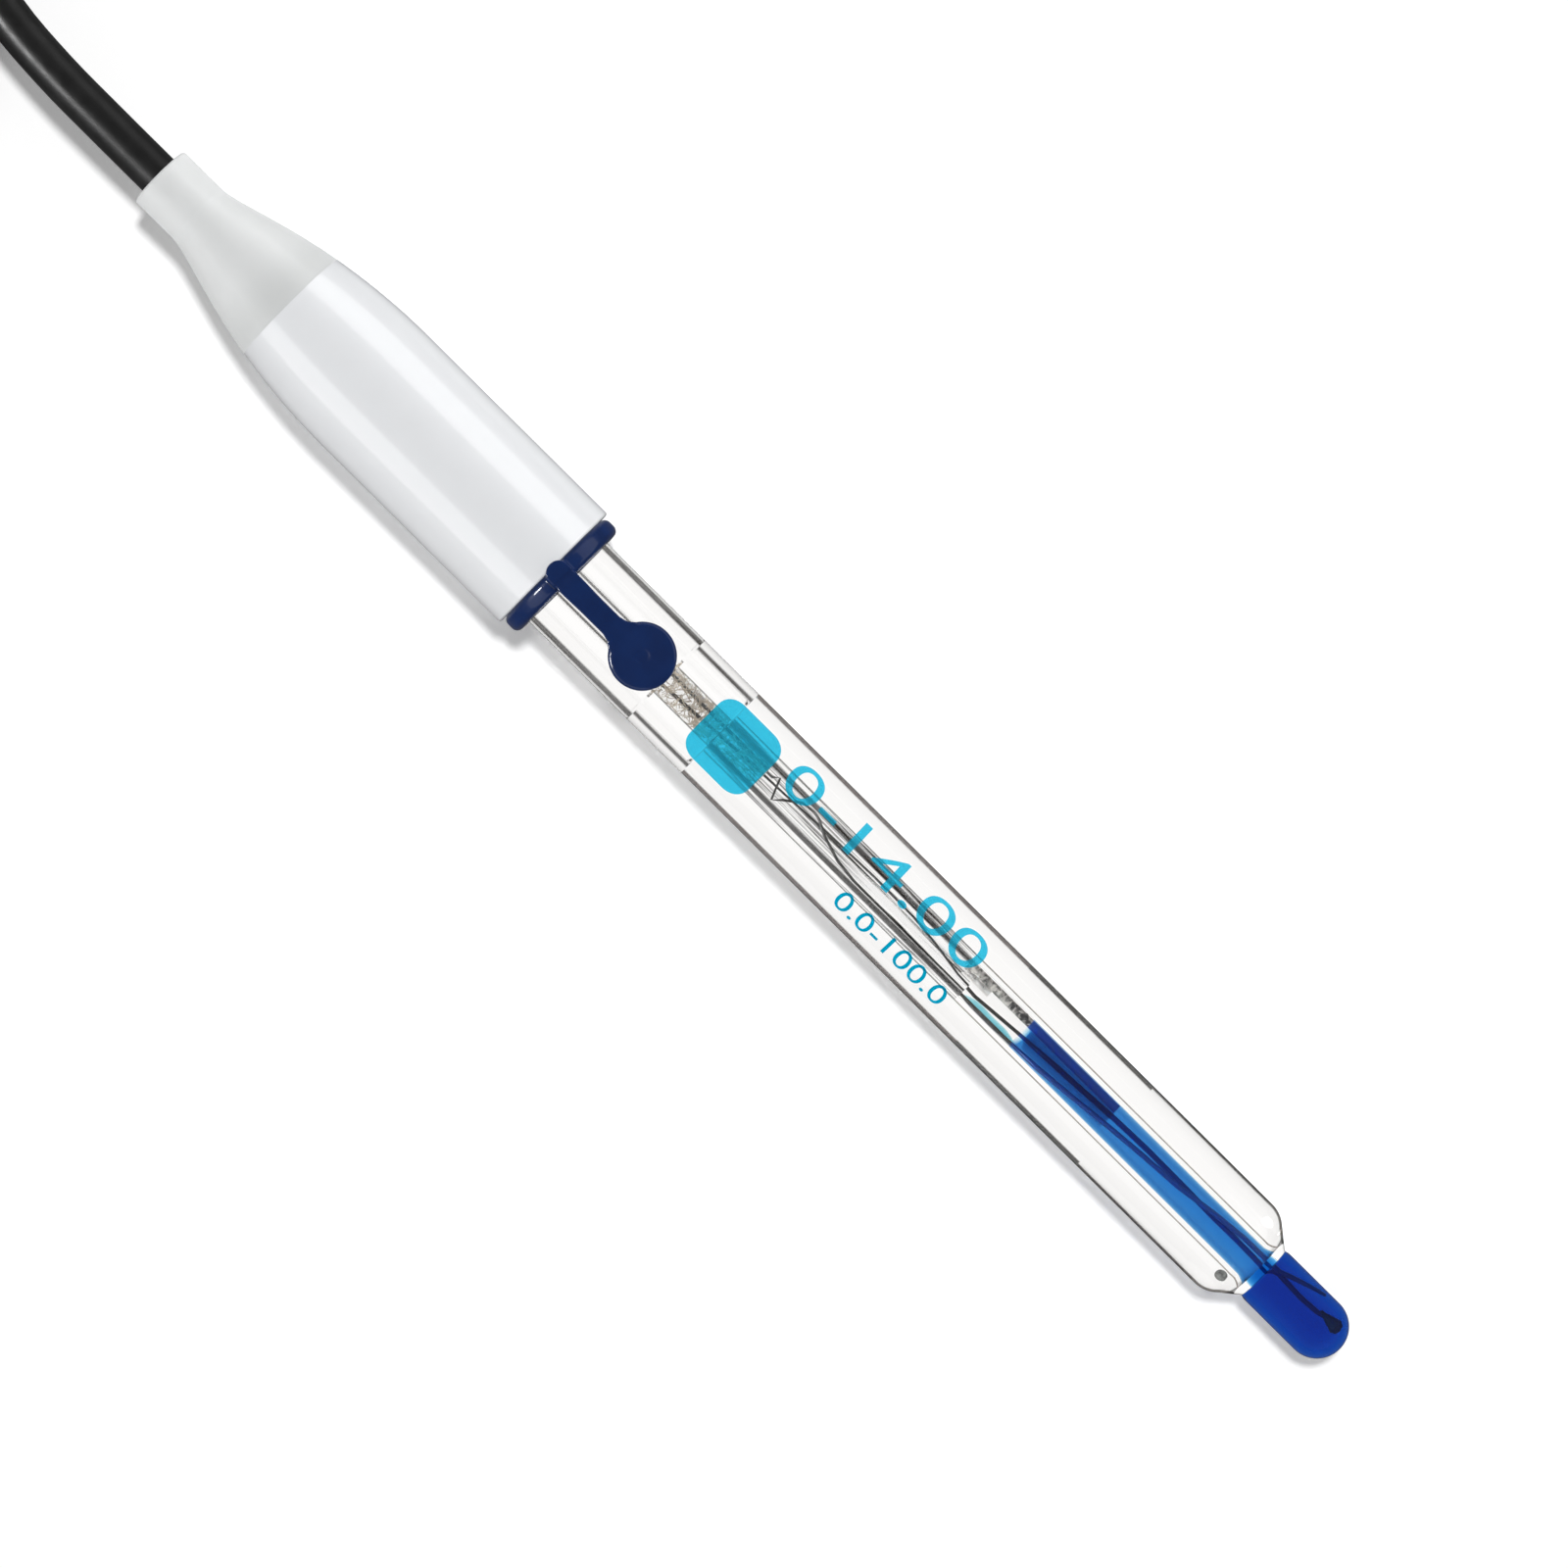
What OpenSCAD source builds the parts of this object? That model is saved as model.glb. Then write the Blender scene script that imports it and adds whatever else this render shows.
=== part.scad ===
// Combination pH electrode with a refillable glass shaft, a moulded cap and a coaxial cable.
// The electrode lies on the plane z = 0 with its bulb towards +X and its refill stopper on top.

/* [Glass shaft] */
// Outer diameter of the shaft
shaft_d = 12; // [11:0.1:14]
// Length from the cap's front face to the tip of the bulb
shaft_l = 120; // [105:1:150]
// Length of shaft that is glued into the cap
shaft_tail = 22; // [16:0.5:26]
// Wall of the shaft round the refill hole
upper_wall = 0.75; // [0.6:0.05:1]
// Wall of the shaft past the step in its bore
lower_wall = 1.2; // [0.9:0.05:1.4]
// Distance of the step in the bore from the cap
step_at = 17.1; // [16:0.1:24]
// Bend radius where the shaft turns in to the neck
shoulder_r = 3.5; // [2:0.1:4]
// Angle between the shoulder's cone and the shaft
shoulder_angle = 39; // [32:1:48]
// Diameter of the neck
neck_d = 6.8; // [6.4:0.1:7.6]

/* [Stem and bulb] */
// Outer diameter of the inner stem
stem_d = 3.9; // [3.4:0.1:4.6]
// Bore of the inner stem
stem_bore = 2.7; // [2.3:0.1:3]
// Length of stem behind the cap's front face
stem_tail = 27; // [26:0.5:29]
// Diameter of the sensing bulb
bulb_d = 7; // [6.4:0.1:8]
// Length of the bulb from the neck to its tip
bulb_l = 11.8; // [9:0.1:16]
// Wall of the sensing bulb
bulb_wall = 0.4; // [0.3:0.05:0.6]

/* [Fills and wires] */
// Distance from the cap to the top of the blue gel
gel_top = 71.3; // [60:0.1:85]
// Distance from the cap to the level of the clear electrolyte
electrolyte_top = 25.3; // [25:0.1:40]
// Diameter of the silver wires
wire_d = 0.3; // [0.2:0.05:0.4]
// Length of the wad in the stem
wad_l = 15.3; // [10:0.1:20]
// Distance from the cap to the wad
wad_at = 16.5; // [10:0.1:25]
// Diameter of the silver chloride rod
rod_d = 0.7; // [0.5:0.05:0.8]
// Length of the silver chloride rod
rod_l = 22.5; // [15:0.5:30]
// Diameter of the ceramic frit
frit_d = 1.2; // [0.8:0.1:1.6]

/* [Cap] */
// Diameter of the cap at its front
cap_d = 16.5; // [15:0.1:19]
// Length of the cap's outside
cap_l = 40; // [36:1:50]
// Diameter of the cap where the boot begins
cap_rear_d = 14.3; // [13.4:0.1:15]
// Length of the cap's cylindrical front
cap_straight_l = 27.2; // [20:0.1:30]
// Edge radius at the cap's front face
cap_rim_r = 0.3; // [0.2:0.05:0.6]
// Length of the nose that carries the boot
nose_l = 4.5; // [3.5:0.1:6]
// Diameter of the nose
nose_d = 11.2; // [10:0.1:11.6]

/* [Boot and cable] */
// Length of the cable boot
boot_l = 20; // [16:0.5:30]
// Diameter of the boot at the cable
boot_end_d = 7.5; // [6.8:0.1:9]
// Length of the boot's straight end
boot_straight_l = 5.75; // [4:0.25:8]
// Diameter of the cable
cable_d = 4.8; // [4:0.1:5]

/* [Refill stopper] */
// Width of the ring on the shaft
ring_w = 2.2; // [1.8:0.1:3]
// Outer diameter of the ring
ring_d = 15.6; // [15:0.1:16.2]
// Width of the strap
strap_w = 2.8; // [2.2:0.1:3.4]
// Thickness of the strap
strap_t = 1.2; // [0.9:0.1:1.5]
// Distance of the refill hole from the cap
refill_at = 13.5; // [12:0.1:15]
// Diameter of the refill hole
refill_hole_d = 3.3; // [3:0.1:3.8]
// Diameter of the stopper's head
head_d = 7.46; // [6.5:0.1:8.5]
// Thickness of the stopper's head
head_t = 1.7; // [1.3:0.1:2.2]

/* [Connector] */
// Diameter of the bayonet coupling nut
nut_d = 14.4; // [13.8:0.1:15.5]
// Length of the coupling nut
nut_l = 11.4; // [10.5:0.1:13]
// Bore of the coupling nut
nut_bore = 9.9; // [9.7:0.05:10.4]
// Diameter of the spring sleeve inside the nut
sleeve_d = 8.1; // [7.8:0.05:8.3]
// Diameter of the centre pin
pin_d = 1.36; // [1.2:0.02:1.6]
// Outer diameter of the crimp ferrule
ferrule_d = 6.8; // [6.4:0.1:7.4]
// Length of the crimp ferrule
ferrule_l = 9; // [8:0.5:11]
// Length of the connector's rubber boot
plug_boot_l = 22; // [18:1:28]

/* [Hidden] */
$fn = 64;
// How far a cut runs past the face that it opens
overrun = 0.5;
// Gap round a piece that is pushed into its seat
push_gap = 0.05;
// Gap round a piece that turns or swings
swing_gap = 0.12;
// Segments in each rounded stretch of an outline
arc_steps = 10;

// Shaft: places along the axis count from the cap's front face, towards the bulb
shaft_r = shaft_d / 2;
upper_bore_r = shaft_r - upper_wall;
lower_bore_r = shaft_r - lower_wall;
step_l = 0.3;
neck_r = neck_d / 2;
neck_at = shaft_l - bulb_l;
shoulder_drop = shoulder_r * (1 - cos(shoulder_angle));
shoulder_cone_l = (shaft_r - neck_r - shoulder_drop) / tan(shoulder_angle);
shoulder_at = neck_at - shoulder_cone_l - shoulder_r * sin(shoulder_angle);

// Stem and bulb
stem_r = stem_d / 2;
stem_bore_r = stem_bore / 2;
seal_r = 2.6;
seal_l = 1;
mouth_r = 1.9;
flare_l = 2.6;
flare_at = neck_at - seal_l - flare_l;
bulb_r = bulb_d / 2;
bulb_bore_r = bulb_r - bulb_wall;
bulb_base_l = 0.8;
bulb_centre_at = shaft_l - bulb_r;

// Fills
meniscus_h = 0.7;
frit_before_neck = 2.8;
frit_at = neck_at - frit_before_neck;
frit_turn = 36;
frit_depth = 1.9;

// Wires in the stem, as shares of the way from the cap's face to the neck and of the free bore
wire_r = wire_d / 2;
wire_sides = 6;
wire_free_r = stem_bore_r - wire_r;
element_start_shares = [0.5, 0];
bead_start_shares = [-0.45, 0.2];
element_route_shares = [[0.14, 0.5, 0], [0.285, 0.5, 0], [0.302, 0.48, 0.3], [0.308, 0.94, 0.25],
    [0.317, -0.95, 0.2], [0.325, -0.27, 0.5], [0.342, 0.75, 0.35], [0.356, 0.94, 0.2],
    [0.365, 0.7, 0.45], [0.379, 0.1, 0.7], [0.407, -0.58, 0.6], [0.434, -0.86, 0.4],
    [0.48, -0.92, 0.25], [0.573, -0.96, 0.15], [0.65, -0.96, 0.15], [0.693, -0.88, 0.2],
    [0.74, -0.64, 0.3], [0.786, -0.34, 0.4], [0.832, -0.1, 0.4], [0.878, 0.08, 0.4],
    [0.924, 0.5, 0.4], [0.961, 0.72, 0.35], [1, 0.8, 0.3]];
bead_route_shares = [[0.14, -0.45, 0], [0.277, 0.06, -0.25], [0.32, 0.2, -0.25], [0.37, 0.44, -0.2],
    [0.444, 0.64, -0.1], [0.5, 0.58, -0.1], [0.536, 0.25, -0.2], [0.573, -0.3, -0.3],
    [0.6, -0.42, -0.3], [0.656, -0.16, -0.35], [0.702, 0, -0.4], [0.739, 0.1, -0.45],
    [0.786, 0.26, -0.45], [0.832, 0.34, -0.35], [0.878, 0.32, -0.3], [0.924, 0.26, -0.3],
    [0.961, 0.28, -0.2], [1, 0.2, -0.1]];
// The wires' ends, as shares of the bulb's length and of its inner radius
element_tip_shares = [[0.1, 0.32, 0.15], [0.35, 0.6, 0.2], [0.55, 0.82, 0.2]];
bead_tip_shares = [[0.1, 0.25, 0], [0.4, 0.22, 0.05], [0.6, 0.26, 0.1], [0.75, 0.33, 0.1]];
bead_d = 1.3;
bead_l = 2.6;
bead_centre_shares = [0.33, 0.1];
bead_profile_shares = [[0, 0], [0.25, 0.03], [0.4, 0.3], [0.75, 0.62], [1, 0.8], [0.7, 0.95], [0, 1]];
rod_r = rod_d / 2;
rod_in_gel = 13.2;
rod_end_at = gel_top + rod_in_gel;
rod_y = stem_bore_r - rod_r - push_gap;
reference_r = 0.2;
reference_coat_r = 0.35;
reference_coat_l = 10;
reference_end_at = 66;
reference_y = 0.4;
reference_z = -(stem_r + reference_coat_r + push_gap);
reference_tail = stem_tail;

// Cap: its bore, wiring space and nose
cap_r = cap_d / 2;
cap_rear_r = cap_rear_d / 2;
cap_taper_l = cap_l - cap_straight_l;
cap_taper_r = (cap_taper_l * cap_taper_l + pow(cap_r - cap_rear_r, 2)) / (2 * (cap_r - cap_rear_r));
cavity_r = 5.4;
cavity_end_at = 33;
cavity_cone_l = 3;
clamp_seat_r = 3.3;
clamp_seat_l = 2;
clamp_r = clamp_seat_r - push_gap;
nose_r = nose_d / 2;
nose_tip_r = 3;
nose_straight_l = 1.5;
cable_r = cable_d / 2;
jacket_end_at = cavity_end_at + cavity_cone_l;

// Seals and wiring inside the cap
bush_l = 10;
potting_t = 3;
stem_seal_l = 3;
joint_r = 0.9;
joint_l = 1.8;
joint_front_at = stem_tail + 0.6;
joint_rear_at = joint_front_at + joint_l;
core_r = 1.3;
core_wire_r = 0.35;
core_bare_l = 2.1;
braid_r = 0.4;

// Boot
boot_end_r = boot_end_d / 2;
boot_edge_r = 0.4;
boot_end_at = cap_l + boot_l;
boot_flare_shares = [[0, 0], [0.14, 0], [0.51, 0.65], [1, 1]];

// Stopper: the lug on the ring carries the strap's round root
ring_r = ring_d / 2;
ring_edge_r = 0.8;
lug_reach = 0.5;
lug_top = cap_r + 0.9;
lug_front = 1.5;
root_r = strap_t / 2 + 0.05;
root_x = 2.35;
root_z = cap_r + 0.1;
head_r = head_d / 2;
head_low = shaft_r + 0.15;
head_edge_r = 0.5;
strap_waist_shares = [[0, 0.49], [0.3, 0.46], [0.58, 0.46], [0.66, 0.54], [0.72, 0.74]];
peg_top_r = refill_hole_d / 2 - 0.3;
peg_tip_r = peg_top_r - 0.2;
peg_l = 1.75;
dimple_r = 0.9;
dimple_depth = 0.12;

// The electrode rests on the cap's rim and the glass shoulder, so its axis leans
lean_dx = shoulder_at + cap_rim_r;
lean_dz = (cap_r - cap_rim_r) - (shaft_r - shoulder_r);
lean = atan2(lean_dz, lean_dx) - asin((shoulder_r - cap_rim_r) / norm([lean_dx, lean_dz]));
face_h = cap_rim_r - cap_rim_r * sin(lean) + (cap_r - cap_rim_r) * cos(lean);
rear_x = (boot_edge_r - boot_end_at) * cos(lean) - (boot_end_r - boot_edge_r) * sin(lean) - boot_edge_r;
tip_x = bulb_centre_at * cos(lean) + bulb_r;
face_x = -(rear_x + tip_x) / 2;

// Cable: the route's points are in the part's own frame
cable_sides = 10;
lead_route = [[-89.95, 0, 9.54], [-98, 0, 9.7], [-106, 0.1, 9.6], [-114, 0.8, 9.2], [-122, 2.8, 8.4],
    [-131, 4.6, 7.7]];
plug_route = [[-207, -29, 7.7], [-199.5, -27.5, 7.7], [-191.7, -21.8, 7.6], [-184, -16.1, 7.4],
    [-176.3, -14.6, 7.2], [-160, -14.6, 7.2], [-142.4, -14.6, 7.2]];

// Hank: two turns side by side and two high, folded in line with the electrode
hank_near_x = -131;
hank_y = -14.6;
hank_run = 76;
hank_fold_r = 3 * cable_d;
hank_out_r = hank_fold_r + 1.5 * cable_d;
hank_in_r = hank_fold_r - 0.5 * cable_d;
tie_t = 0.5;
tie_w = 5;
tie_gap = 0.1;
tie_x_shares = [0.5, 0.22];

// Connector: places count from the nut's mouth, backwards
plug_x = -128;
plug_y = -14.6;
nut_r = nut_d / 2;
nut_bore_r = nut_bore / 2;
nut_floor_t = 1.8;
nut_flute_r = 0.45;
nut_flutes = 28;
nut_band_at = 2.2;
nut_band_l = 6.4;
edge_cut = 0.35;
nut_land_r = nut_r - edge_cut;
slot_w = 2.2;
slot_start = 3.4;
slot_pitch = 2.6;
slot_turn = 80;
slot_steps = 12;
slot_floor_r = 5.75;
detent_r = 1.25;
plug_neck_r = 4.3;
sleeve_r = sleeve_d / 2;
sleeve_wall = 0.6;
sleeve_set_back = 0.6;
sleeve_slit_w = 0.4;
sleeve_slit_l = 5;
plug_floor_at = nut_l - nut_floor_t - 1.4;
snap_ring_t = 0.6;
washer_t = 0.35;
collar_r = 5.3;
collar_l = 5.6;
collar_flats = 9.6;
insulator_r = 2.45;
insulator_set_back = 4;
pin_set_back = 1.4;
pin_root_l = 3;
ferrule_bore_r = cable_r + push_gap;
crimp_flats = 6.1;
crimp_l = 6;
plug_boot_r = 4.3;
plug_boot_end_r = 3.3;
boot_seat_l = 7;

// A rounded stretch of an outline: centre [cx, cy], radius r, from angle a to angle b
function arc(cx, cy, r, a, b, steps = arc_steps) =
    [for (i = [0:steps]) let (t = a + (b - a) * i / steps) [cx + r * cos(t), cy + r * sin(t)]];

// A point on a cubic curve with four control points
function curve_at(p, t) =
    p[0] * pow(1 - t, 3) + p[1] * 3 * t * pow(1 - t, 2) + p[2] * 3 * t * t * (1 - t) + p[3] * pow(t, 3);

// The points of a cubic curve from its first to its last control point
function curve(p, steps = arc_steps) = [for (i = [0:steps]) curve_at(p, i / steps)];

function unit(v) = v / norm(v);

function direction(path, i) =
    unit(path[min(i + 1, len(path) - 1)] - path[max(i - 1, 0)]);

function side_way(d) = unit(cross([0, 0, 1], d));

function ring_of(centre, d, r, sides) =
    let (across = side_way(d), up = cross(d, across))
    [for (k = [0:sides - 1]) let (a = 360 * (k + 0.5) / sides) centre + r * (cos(a) * across + sin(a) * up)];

// A round wire or cable along a path
module swept(path, r, sides) {
    last = len(path) - 1;
    points = [for (i = [0:last]) each ring_of(path[i], direction(path, i), r, sides)];
    walls = [for (i = [0:last - 1], k = [0:sides - 1])
        let (a = i * sides + k, b = i * sides + (k + 1) % sides) [a, a + sides, b + sides, b]];
    start_cap = [for (k = [0:sides - 1]) k];
    end_cap = [for (k = [sides - 1:-1:0]) last * sides + k];
    polyhedron(points, concat(walls, [start_cap, end_cap]), convexity = 6);
}

// Puts the electrode's axis, which runs along +X from the cap's face, in its place on the floor
module lay_down() {
    translate([face_x, 0, face_h]) rotate([0, lean, 0]) children();
}

// A turned piece: the outline gives [radius, place along the axis]
module turned(outline) {
    rotate([0, 90, 0]) rotate_extrude() polygon(outline);
}

// A round bar along the axis between two places
module bar(r, from, to) {
    translate([from, 0, 0]) rotate([0, 90, 0]) cylinder(r = r, h = to - from);
}

// A round hole or peg that points straight up from the axis
module upright(r, x, low, high) {
    translate([x, 0, low]) cylinder(r = r, h = high - low);
}

function shoulder_line() =
    concat(arc(shaft_r - shoulder_r, shoulder_at, shoulder_r, 0, shoulder_angle), [[neck_r, neck_at]]);

function tube_inside_line() = [[seal_r, neck_at - seal_l], [lower_bore_r, shoulder_at]];

function stem_flare_line() =
    curve([[stem_r, flare_at], [stem_r, flare_at + flare_l / 2], [seal_r, neck_at - seal_l - flare_l / 4],
        [seal_r, neck_at - seal_l]]);

function stem_mouth_line() =
    curve([[mouth_r, neck_at], [mouth_r, neck_at - flare_l / 2], [stem_bore_r, flare_at + flare_l / 2],
        [stem_bore_r, flare_at]]);

function bulb_inside_line() =
    concat(curve([[mouth_r, neck_at], [bulb_bore_r, neck_at], [bulb_bore_r, neck_at + bulb_base_l / 2],
        [bulb_bore_r, neck_at + bulb_base_l]]), arc(0, bulb_centre_at, bulb_bore_r, 0, 90));

function reversed(list) = [for (i = [len(list) - 1:-1:0]) list[i]];

// Glass
module shaft_outside() {
    turned(concat([[0, -shaft_tail], [shaft_r, -shaft_tail]], shoulder_line(), [[0, neck_at]]));
}

module outer_tube() {
    color([0.93, 0.94, 0.94, 0.4]) lay_down() difference() {
        turned(concat([[upper_bore_r, -shaft_tail], [shaft_r, -shaft_tail]], shoulder_line(),
            [[seal_r, neck_at]], tube_inside_line(), [[lower_bore_r, step_at],
            [upper_bore_r, step_at - step_l]]));
        upright(refill_hole_d / 2, refill_at, 0, shaft_r + overrun);
        frit_rod(frit_depth + overrun, overrun);
    }
}

module inner_stem() {
    color([0.9, 0.92, 0.93, 0.4]) lay_down()
        turned(concat([[stem_bore_r, -stem_tail], [stem_r, -stem_tail]], stem_flare_line(),
            [[seal_r, neck_at]], stem_mouth_line()));
}

module sensing_bulb() {
    color([0.3, 0.45, 0.9, 0.5]) lay_down()
        turned(concat([[neck_r, neck_at], [bulb_r, neck_at + bulb_base_l / 2]],
            arc(0, bulb_centre_at, bulb_r, 0, 90), reversed(bulb_inside_line())));
}

// The frit's bar, which reaches in by the depth and stands out by the rise
module frit_rod(depth, rise) {
    surface_r = neck_r + (neck_at - frit_at) * tan(shoulder_angle);
    rotate([frit_turn, 0, 0]) upright(frit_d / 2, frit_at, surface_r - depth, surface_r + rise);
}

module ceramic_frit() {
    color([0.62, 0.64, 0.6]) lay_down() intersection() {
        frit_rod(frit_depth, overrun);
        shaft_outside();
    }
}

// Wires
function stem_point(p) = [p[0] * neck_at, p[1] * wire_free_r, p[2] * wire_free_r];

function bulb_point(p) = [neck_at + p[0] * bulb_l, p[1] * bulb_bore_r, p[2] * bulb_bore_r];

function start_points(p) =
    [for (x = [-joint_front_at, -stem_tail + stem_seal_l]) [x, p[0] * wire_free_r, p[1] * wire_free_r]];

function element_path() = concat(start_points(element_start_shares),
    [for (p = element_route_shares) stem_point(p)], [for (p = element_tip_shares) bulb_point(p)]);

function bead_path() = concat(start_points(bead_start_shares),
    [for (p = bead_route_shares) stem_point(p)], [for (p = bead_tip_shares) bulb_point(p)]);

module element_wire_shape() {
    swept(element_path(), wire_r, wire_sides);
}

module bead_wire_shape() {
    difference() {
        swept(bead_path(), wire_r, wire_sides);
        bead_shape();
    }
}

module bead_shape() {
    front = bulb_centre_at + bulb_bore_r * 0.5;
    translate([0, bead_centre_shares[0] * bulb_bore_r, bead_centre_shares[1] * bulb_bore_r])
        turned([for (p = bead_profile_shares) [p[0] * bead_d / 2, front - bead_l + p[1] * bead_l]]);
}

module element_wire() {
    color([0.35, 0.33, 0.33]) lay_down() element_wire_shape();
}

module bead_wire() {
    color([0.25, 0.25, 0.28]) lay_down() bead_wire_shape();
}

module element_bead() {
    color([0.08, 0.08, 0.12]) lay_down() bead_shape();
}

module rod_shape() {
    translate([0, rod_y, 0]) bar(rod_r, rod_end_at - rod_l, rod_end_at);
}

module chloride_rod() {
    color([0.3, 0.3, 0.3]) lay_down() rod_shape();
}

module wadding_plug() {
    color([0.6, 0.57, 0.52]) lay_down() difference() {
        bar(stem_bore_r, wad_at, wad_at + wad_l);
        element_wire_shape();
        bead_wire_shape();
    }
}

module reference_shape(gap) {
    translate([0, reference_y, reference_z]) {
        bar(reference_r + gap, -reference_tail, reference_end_at - reference_coat_l);
        bar(reference_coat_r + gap, reference_end_at - reference_coat_l, reference_end_at);
    }
}

module reference_wire() {
    color([0.45, 0.42, 0.42]) lay_down() reference_shape(0);
}

// Fills
module buffer_gel() {
    color([0.08, 0.25, 0.75]) lay_down() difference() {
        turned(concat([[0, gel_top + meniscus_h], [stem_bore_r * 0.6, gel_top + meniscus_h * 0.7],
            [stem_bore_r, gel_top]], reversed(stem_mouth_line()), bulb_inside_line()));
        element_wire_shape();
        bead_wire_shape();
        bead_shape();
        rod_shape();
    }
}

module electrolyte() {
    color([0.93, 0.96, 0.98, 0.25]) lay_down() difference() {
        turned(concat([[lower_bore_r, electrolyte_top], [lower_bore_r, shoulder_at],
            [seal_r, neck_at - seal_l]], reversed(stem_flare_line()), [[stem_r, electrolyte_top]]));
        reference_shape(0);
        frit_rod(frit_depth + overrun, overrun);
    }
}

// Seals and wiring in the cap
module tube_bush() {
    color([0.75, 0.76, 0.76]) lay_down() difference() {
        turned([[stem_r, -shaft_tail], [upper_bore_r, -shaft_tail], [upper_bore_r, bush_l - shaft_tail],
            [stem_r, bush_l - shaft_tail]]);
        reference_shape(push_gap);
    }
}

module potting_plug() {
    color([0.2, 0.2, 0.2]) lay_down() difference() {
        turned([[stem_r, -shaft_tail - potting_t], [cavity_r, -shaft_tail - potting_t],
            [cavity_r, -shaft_tail], [stem_r, -shaft_tail]]);
        reference_shape(push_gap);
    }
}

module stem_seal() {
    color([0.7, 0.25, 0.2]) lay_down() difference() {
        bar(stem_bore_r, -stem_tail, stem_seal_l - stem_tail);
        element_wire_shape();
        bead_wire_shape();
    }
}

module solder_joint() {
    color([0.7, 0.7, 0.72]) lay_down() bar(joint_r, -joint_rear_at, -joint_front_at);
}

module core_wire() {
    color([0.8, 0.5, 0.3]) lay_down() bar(core_wire_r, -jacket_end_at, -joint_rear_at);
}

module core_insulation() {
    color([0.9, 0.9, 0.88]) lay_down() difference() {
        bar(core_r, -jacket_end_at, -joint_rear_at - core_bare_l);
        bar(core_wire_r, -jacket_end_at - overrun, -joint_rear_at);
    }
}

module braid_tail() {
    start_z = -(core_r + braid_r + push_gap);
    path = [[-jacket_end_at, 0, start_z], [-jacket_end_at + braid_r, 0, start_z],
        [-jacket_end_at + (jacket_end_at - reference_tail) * 0.4, reference_y * 0.5, reference_z],
        [-reference_tail, reference_y, reference_z]];
    color([0.65, 0.6, 0.55]) lay_down() swept(path, braid_r, 8);
}

module cable_clamp() {
    color([0.72, 0.73, 0.75]) lay_down() turned([[cable_r, -jacket_end_at - clamp_seat_l],
        [clamp_r, -jacket_end_at - clamp_seat_l], [clamp_r, -jacket_end_at], [cable_r, -jacket_end_at]]);
}

// Cap
function cap_taper_line() =
    let (sweep = asin(cap_taper_l / cap_taper_r))
    arc(cap_r - cap_taper_r, -cap_straight_l, cap_taper_r, -sweep, 0);

function nose_line() =
    concat([[cable_r + push_gap, -cap_l - nose_l], [nose_tip_r, -cap_l - nose_l]],
        curve([[nose_tip_r, -cap_l - nose_l], [nose_r * 0.85, -cap_l - nose_l],
        [nose_r, -cap_l - nose_l * 0.8], [nose_r, -cap_l - nose_straight_l]]), [[nose_r, -cap_l]]);

module cap_body() {
    color([0.94, 0.94, 0.95]) lay_down()
        turned(concat(nose_line(), cap_taper_line(),
            arc(cap_r - cap_rim_r, -cap_rim_r, cap_rim_r, 0, 90, 4), [[shaft_r + push_gap, 0],
            [shaft_r + push_gap, -shaft_tail], [cavity_r, -shaft_tail], [cavity_r, -cavity_end_at],
            [clamp_seat_r, -jacket_end_at], [clamp_seat_r, -jacket_end_at - clamp_seat_l],
            [cable_r + push_gap, -jacket_end_at - clamp_seat_l]]));
}

function boot_flare_line() =
    let (start = -boot_end_at + boot_straight_l, length = boot_l - boot_straight_l,
        rise = cap_rear_r - boot_end_r)
    curve([for (p = boot_flare_shares) [boot_end_r + p[1] * rise, start + p[0] * length]]);

module cable_boot() {
    color([0.82, 0.83, 0.8]) lay_down()
        turned(concat(arc(boot_end_r - boot_edge_r, boot_edge_r - boot_end_at, boot_edge_r, -90, 0, 4),
            boot_flare_line(), reversed(nose_line()), [[cable_r + push_gap, -boot_end_at]]));
}

// Stopper
module stopper_ring() {
    color([0.09, 0.16, 0.42]) lay_down() {
        turned(concat([[shaft_r, 0]], arc(ring_r - ring_edge_r, ring_edge_r, ring_edge_r, -90, 0, 6),
            arc(ring_r - ring_edge_r, ring_w - ring_edge_r, ring_edge_r, 0, 90, 6), [[shaft_r, ring_w]]));
        lug();
    }
}

// The lug stands on the ring and reaches back over the cap's rim
module lug() {
    low = ring_r - ring_edge_r / 2;
    over_rim = cap_r + swing_gap;
    edge = (lug_top - over_rim) / 2;
    difference() {
        rotate([90, 0, 0]) translate([0, 0, -strap_w / 2]) linear_extrude(strap_w)
            polygon(concat(arc(-lug_reach + edge, over_rim + edge, edge, 270, 90, 6),
                [[lug_front, lug_top], [lug_front, root_z], [ring_w - ring_edge_r / 2, low],
                [swing_gap, low], [swing_gap, over_rim]]));
        translate([root_x, strap_w, root_z]) rotate([90, 0, 0])
            cylinder(r = root_r + swing_gap, h = 2 * strap_w);
        lug_corner(1);
        lug_corner(-1);
    }
}

// Rounds one rear corner of the lug, as seen from above
module lug_corner(side) {
    r = strap_w / 2;
    translate([r - lug_reach, 0, ring_r + swing_gap * 2]) difference() {
        translate([-2 * r, side > 0 ? 0 : -2 * r, 0]) cube([2 * r, 2 * r, r]);
        translate([0, 0, -overrun]) cylinder(r = r, h = r + 2 * overrun);
    }
}

// The strap's side view, from its round root to the middle of the head
function strap_side() =
    let (tail = refill_at - head_r / 2, top = head_low + head_t)
    concat([[root_x, root_z - root_r]],
        curve([[root_x, root_z + root_r], [root_x + head_r, root_z + root_r], [tail - head_r, top], [tail, top]]),
        [[tail, top - strap_t], [tail - head_r, top - strap_t]]);

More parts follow.
